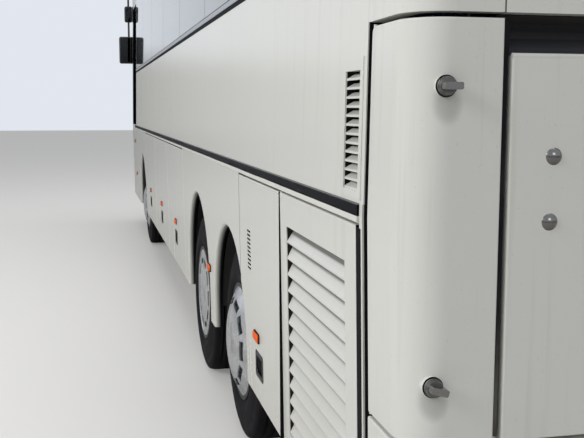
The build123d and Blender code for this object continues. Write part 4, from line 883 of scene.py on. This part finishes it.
# Painted shade darkens each slat towards the seam under the one above, the gaps at the engine doors' edges,
# the top of the door's opening, the front end of the side louvre, and the joint and post in front of the
# corner panels.
for _, word in SIDES:
    masked_paint(f"engine_door_{word}", [
        (deep_mask((GRILLE_X[0], -4.7485), GRILLE_Z, *SLAT_SHADE), SEAM_SHADE, 0.6, 0.0),
        (deep_mask(GRILLE_X, GRILLE_Z, 0.0385), BLACK, 0.7, 0.0),
        (deep_mask(MESH_EDGE, GRILLE_Z, 0.0030), MESH_BROWN, 0.7, 0.0),
        gap_shade_layer(DOOR_REAR, 0.0020, BLACK),
        gap_shade_layer(DOOR_FRONT, 0.0020, BLACK),
        (deep_mask(GRILLE_X, (1.2765, GRILLE_Z[1]), 0.0030), BLACK, 0.7, 0.0),
    ])
    masked_paint(f"side_wall_{word}", [
        (deep_mask(LOUVRE_X, LOUVRE_Z, 0.0225), BLACK, 0.7, 0.0),
        (deep_mask((-5.4713, LOUVRE_X[1]), LOUVRE_Z, 0.0020), BLACK, 0.7, 0.0),
        gap_shade_layer(CORNER_JOINT, 0.0030, BLACK),
        (deep_mask(CORNER_POST, (0.20, 1.448), 0.0050), BLACK, 0.7, 0.0),
        (deep_mask(PANES_X, PANES_Z, 0.002), BLACK, 0.35, 0.0),
    ])


# Rear corners: painted panels with turned steel knobs on black rubber washers, each with a soft darker patch
# below it, beside the upper cap and the lifting flap with its two plugs. The knobs' steel carries a painted
# highlight and painted shade.
BEHIND = -6.1
PATCH_FRONT = -5.9


def patch_mask(y, z, half, amount):
    """Maker of a soft mask round a spot on the rear face, on both sides."""
    def maker(tree, place):
        parts = axes(tree, place)
        across = math_node(tree, "SUBTRACT", math_node(tree, "ABSOLUTE", parts["Y"]), y)
        across = math_node(tree, "DIVIDE", across, half[0])
        up = math_node(tree, "DIVIDE", math_node(tree, "SUBTRACT", parts["Z"], z), half[1])
        soft = ramp(tree, square_sum(tree, across, up), 1.0, 0.0, 0.0, amount)
        return math_node(tree, "MULTIPLY", soft, math_node(tree, "LESS_THAN", parts["X"], PATCH_FRONT))
    return maker


STEEL = (0.20, 0.195, 0.188, 1)
PATCH_TONE = (0.20, 0.195, 0.18, 1)
REAR_FACE = -5.9502
WASHER_BACK = -5.9533
KNOB_STEPS = (  # from and to along the coach, the steel's tone as painted highlight and shade, roughness
    (-5.9565, WASHER_BACK, 2.0, 0.30), (-5.9705, -5.9565, 0.75, 0.34), (BEHIND, -5.9705, 1.25, 0.26),
)
KNOBS = ((1.1595, 1.7365), (1.176, 1.063))
WASHER_R = 0.0250
KNOB_REACH = 0.0600
PATCH_IN = 0.006
PATCH_DOWN = 0.040
PATCH_HALF = (0.040, 0.052)
PLUGS = ((0.896, 1.581), (0.901, 1.432))
PLUG_R = 0.0203
CAP_JOINTS = (1.0220, -1.0260)
knob_layers = []
# A soft darker patch below each knob.
for y, z in KNOBS:
    knob_layers.append((patch_mask(y - PATCH_IN, z - PATCH_DOWN, PATCH_HALF, 0.42), PATCH_TONE, 0.45, 0.0))
for y, z in KNOBS:
    knob_layers.append((disc_mask(y, z, WASHER_R, WASHER_BACK, REAR_FACE), RUBBER, 0.6, 0.0))
    # Each zone of the knob is toned: a painted highlight on the edge by the washer and on the lever, painted
    # shade on the cone.
    for x_from, x_to, tone, roughness in KNOB_STEPS:
        knob_layers.append((disc_mask(y, z, KNOB_REACH, x_from, x_to), toned(STEEL, tone), roughness, 1.0))
for _, word in SIDES:
    masked_paint(f"corner_panel_{word}", knob_layers)


def cap_joint(tree, place):
    """Mask of painted shade on the upright joints of the rear cap, above the corner panels' inner edges."""
    joints = [inside_box(tree, place, (BEHIND, y, 1.880), (-5.85, y + 0.004, 3.30)) for y in CAP_JOINTS]
    return math_node(tree, "MAXIMUM", *joints)


masked_paint("rear_cap", [(cap_joint, SEAM_SHADE, 0.7, 0.0)])
plug_layers = [(disc_mask(y, z, PLUG_R, BEHIND, REAR_FACE), STEEL, 0.16, 1.0) for y, z in PLUGS]
masked_paint("engine_flap", plug_layers)


# Doors: flush glazed leaves with black rubber round the pane and round their
# edges, dark glass bonded on the frame, and a black pull handle.
def pane_mask(x, z, margin=0.0):
    """Maker of a mask on a door's pane, with a margin round it."""
    def maker(tree, place):
        low = (x[0] - margin, None, z[0] - margin)
        high = (x[1] + margin, None, z[1] + margin)
        return inside_box(tree, place, low, high)
    return maker


DARK_GLASS = (0.020, 0.023, 0.024, 1)
LEAF_FRAME = 0.080
PANE_SEAL = 0.008
PANE_FOOT = 0.945
HANDLE_IN = 0.040
HANDLE_Z = 1.150
HANDLE_PARTS = (  # size, height above the handle's middle, stand-off: plate, two posts, grip
    ((0.036, 0.006, 0.150), 0.0, 0.002), ((0.016, 0.034, 0.012), -0.055, 0.015),
    ((0.016, 0.034, 0.012), 0.055, 0.015), ((0.018, 0.009, 0.130), 0.0, 0.030),
)
for name, x, top in (("front_door", (4.712, 5.440), 2.640), ("mid_door", (-1.280, -0.470), 2.080)):
    pane = ((x[0] + LEAF_FRAME, x[1] - LEAF_FRAME), (PANE_FOOT, top - LEAF_FRAME))
    masked_paint(name, [(deep_mask(x, WALL_Z, 0.0050), RUBBER, 0.6, 0.0),
                        (pane_mask(*pane, PANE_SEAL), BLACK, 0.5, 0.0),
                        (pane_mask(*pane), DARK_GLASS, 0.05, 0.0)])
    bm = bmesh.new()
    for size, rise, stand in HANDLE_PARTS:
        middle = (x[0] + HANDLE_IN, -(skin_y(HANDLE_Z + rise) + stand), HANDLE_Z + rise)
        block(bm, [m - s / 2 for m, s in zip(middle, size)], [m + s / 2 for m, s in zip(middle, size)])
    handle = mesh_object(bm, f"{name}_handle", black_moulding, smooth=False)
    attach(handle, "body")


# Roof hatches: moulded white plastic lids, a little yellowed, that stand on
# the sheet roof's crown. They are part of the roof's solid, so its paint is masked.
HATCH_STATIONS = (-2.600, 1.700)
HATCH_HALF = (0.382, 0.312)
HATCH_FOOT = 3.651


def hatch_mask(tree, place):
    """Mask on both hatches, which stand above the roof's crown."""
    lids = [inside_box(tree, place, (x - HATCH_HALF[0], -HATCH_HALF[1], HATCH_FOOT),
                       (x + HATCH_HALF[0], HATCH_HALF[1], 3.8)) for x in HATCH_STATIONS]
    return math_node(tree, "MAXIMUM", *lids)


masked_paint("roof", [(hatch_mask, (0.66, 0.65, 0.57, 1), 0.42, 0.0)])


# Window trims: a black rubber seal under the panes, a thin satin strip clipped
# over it, and the upper seal. They run along both sides in single lengths.
def strip_along(bm, x, side, z, proud, inner=0.004, ease=0.001):
    """A strip with eased outer edges that follows one side's wall."""
    low, high = z
    foot, head = skin_y(low), skin_y(high)
    outline = [(foot - inner, low), (foot + proud - ease, low), (foot + proud, low + ease),
               (head + proud, high - ease), (head + proud - ease, high), (head - inner, high)]
    end = bm.faces.new([bm.verts.new((x[0], side * y, z)) for y, z in outline])
    sweep(bm, [end], (x[1] - x[0], 0, 0))


REAR_PART = -5.85
seal_rubber, tree, shader = new_material("seal_rubber")
place = object_place(tree)
parts = axes(tree, place)
foot = ramp(tree, parts["Z"], 1.35, 0.95)
patch = ramp(tree, noise(tree, stretch(tree, place, (30.0, 30.0, 6.0)), 1.0, 3.0), 0.35, 0.7, 0.3, 1.0)
behind = math_node(tree, "LESS_THAN", parts["X"], REAR_PART)
worn = math_node(tree, "MULTIPLY", patch, 0.35, behind)
dusty = math_node(tree, "MULTIPLY", foot, patch, behind)
color = blend_color(tree, worn, (0.008, 0.008, 0.010, 1), (0.055, 0.055, 0.06, 1))
fill(tree, shader, Base_Color=blend_color(tree, dusty, color, (0.15, 0.14, 0.12, 1)), Roughness=0.65,
     Specular_IOR_Level=0.05)
satin, tree, shader = new_material("satin_trim")
brush = noise(tree, stretch(tree, object_place(tree), (2.0, 60.0, 400.0)), 1.0, 2.0)
fill(tree, shader, Base_Color=blend_color(tree, brush, (0.30, 0.32, 0.35, 1), (0.44, 0.46, 0.49, 1)),
     Metallic=0.5, Roughness=0.34)
TRIM_X = (-5.374, 4.634)
SEAL_RUNS = (((2.1480, 2.1700), 0.0022), ((2.1960, 2.2000), 0.0036), ((3.2400, 3.2520), 0.0025))
STRIP_RUNS = (((2.1700, 2.1960), 0.0038),)
for piece_name, material, runs in (
    ("window_seals", seal_rubber, SEAL_RUNS),
    ("window_strips", satin, STRIP_RUNS),
):
    bm = bmesh.new()
    for side, _ in SIDES:
        for z, proud in runs:
            strip_along(bm, TRIM_X, side, z, proud)
    bmesh.ops.recalc_face_normals(bm, faces=bm.faces)
    trim = mesh_object(bm, piece_name, material, smooth=False)
    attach(trim, "body")


# Recess over the engine flap: a black moulded gutter between the flap's rolled edge and the upper cap, which
# also stands in for the recess's shade. It is hollow in section and dull from road dust, and painted light
# makes it browner towards its top and bluer towards its foot.
gutter_black_and_shade, tree, shader = new_material("gutter_black_and_shade")
place = object_place(tree)
dust = ramp(tree, noise(tree, stretch(tree, place, (8.0, 3.0, 20.0)), 1.0, 3.0), 0.35, 0.75, 0.4, 1.0)
height = axes(tree, place)["Z"]
# Painted light: lighter towards the top and the foot, darkest in between, mottled by dust.
top_light_and_dust = math_node(tree, "MULTIPLY", ramp(tree, height, 1.868, 1.896), dust)
foot_light_and_dust = math_node(tree, "MULTIPLY", ramp(tree, height, 1.852, 1.826), dust)
color = blend_color(tree, top_light_and_dust, (0.006, 0.006, 0.008, 1), (0.042, 0.036, 0.031, 1))
fill(tree, shader, Base_Color=blend_color(tree, foot_light_and_dust, color, (0.030, 0.031, 0.037, 1)), Roughness=0.6,
     Specular_IOR_Level=0.25)
GUTTER_HALF = 1.021
GUTTER_SECTION = (
    (-5.897, 1.700), (-5.902, 1.800), (-5.893, 1.826), (-5.881, 1.846), (-5.878, 1.862), (-5.884, 1.878),
    (-5.898, 1.896), (-5.894, 1.898), (-5.878, 1.880), (-5.872, 1.862), (-5.875, 1.844), (-5.889, 1.822),
    (-5.897, 1.798), (-5.893, 1.700),
)
bm = bmesh.new()
profile = bm.faces.new([bm.verts.new((x, -GUTTER_HALF, z)) for x, z in GUTTER_SECTION])
sweep(bm, [profile], (0, 2 * GUTTER_HALF, 0))
bmesh.ops.recalc_face_normals(bm, faces=bm.faces)
gutter = mesh_object(bm, "flap_gutter", gutter_black_and_shade, smooth=False)
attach(gutter, "body")


# Rear and side seals: dark rubber blades stand in the gaps beside the engine flap, dusty brown towards their
# feet, and also stand in for the shade deep in those gaps. Dark strips behind the corner panels' front edges
# and beside the posts are painted shade in those gaps.
def leaning_block(bm, low, high, side):
    """A box whose inner and outer faces follow the skin; its Y is measured from there."""
    for v in block(bm, low, high):
        v.co.y += side * skin_y(v.co.z)


BLADES = (
    ((-5.937, 1.0095, 0.930), (-5.897, 1.0185, 1.880)),
    ((-5.903, 0.9900, 0.930), (-5.897, 1.0400, 1.880)),
)
CORNER_SHADE_IN = 0.055
POST_SHADE_IN = 0.00525
bm = bmesh.new()
for side, _ in SIDES:
    for low, high in BLADES:
        ends = sorted((side * low[1], side * high[1]))
        block(bm, (low[0], ends[0], low[2]), (high[0], ends[1], high[2]))
    # Painted shade: a dark strip in the gap behind the corner panel's front edge, and one in the gap beside
    # the post.
    inward = -side * CORNER_SHADE_IN
    leaning_block(bm, (-5.700, inward - 0.002, 0.925), (-5.632, inward + 0.002, 1.880), side)
    inward = -side * POST_SHADE_IN
    leaning_block(bm, (-5.627, inward - 0.00675, 0.451), (-5.593, inward + 0.00675, 1.383), side)
rear_seals_and_shade_sheets = mesh_object(bm, "rear_seals_and_shade_sheets", seal_rubber, smooth=False)
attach(rear_seals_and_shade_sheets, "body")

# Flap seals: a black rubber blade rides on each service flap's rear edge. It
# stands further out towards its foot.
FLAP_SEAL_X = (-4.6372, -4.6342)
FLAP_SEAL_Z = (0.452, 1.370)
FLAP_SEAL_PROUD = (0.012, 0.002)
FLAP_SEAL_IN = 0.012
for side, word in SIDES:
    bm = bmesh.new()
    made = bmesh.ops.create_cube(bm, size=1.0)["verts"]
    for v in made:
        front, outer_edge, top = v.co.x > 0, v.co.y * side > 0, v.co.z > 0
        v.co.z = FLAP_SEAL_Z[top]
        v.co.y = side * (skin_y(v.co.z) + (FLAP_SEAL_PROUD[top] if outer_edge else -FLAP_SEAL_IN))
        v.co.x = FLAP_SEAL_X[front]
    blade = mesh_object(bm, f"service_seal_{word}", seal_rubber, smooth=False)
    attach(blade, f"service_flap_{word}")


# Mirror glass: silvered plates with rounded corners, bonded into the rear of each mirror housing, their
# silvering painted near-black as a painted reflection of dark surroundings. A large plate hangs below a small
# wide-angle one.
MIRROR_PLATES = (  # station, then the inner lower and outer upper corners in Y and Z
    (5.880, (1.216, 2.347), (1.389, 2.703)), (5.890, (1.220, 2.946), (1.305, 3.144)),
)
PLATE_BACK = 0.0012
PLATE_FRONT = 0.0028
darkened_mirror, tree, shader = new_material("mirror_glass")
# Painted reflection: the silvering is near-black, as if it showed dark surroundings.
fill(tree, shader, Base_Color=(0.030, 0.031, 0.034, 1), Metallic=1.0, Roughness=0.03)
bm = bmesh.new()
for side, _ in SIDES:
    for x, low, high in MIRROR_PLATES:
        ends = sorted((side * low[0], side * high[0]))
        block(bm, (x - PLATE_BACK, ends[0], low[1]), (x + PLATE_FRONT, ends[1], high[1]))
corners = [e for e in bm.edges if abs(e.verts[0].co.x - e.verts[1].co.x) > 0.002]
bmesh.ops.bevel(bm, geom=corners, offset=0.02, segments=5, profile=0.5, affect="EDGES", material=-1)
mirror_plates = mesh_object(bm, "mirror_plates", darkened_mirror, smooth=False)
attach(mirror_plates, "body")
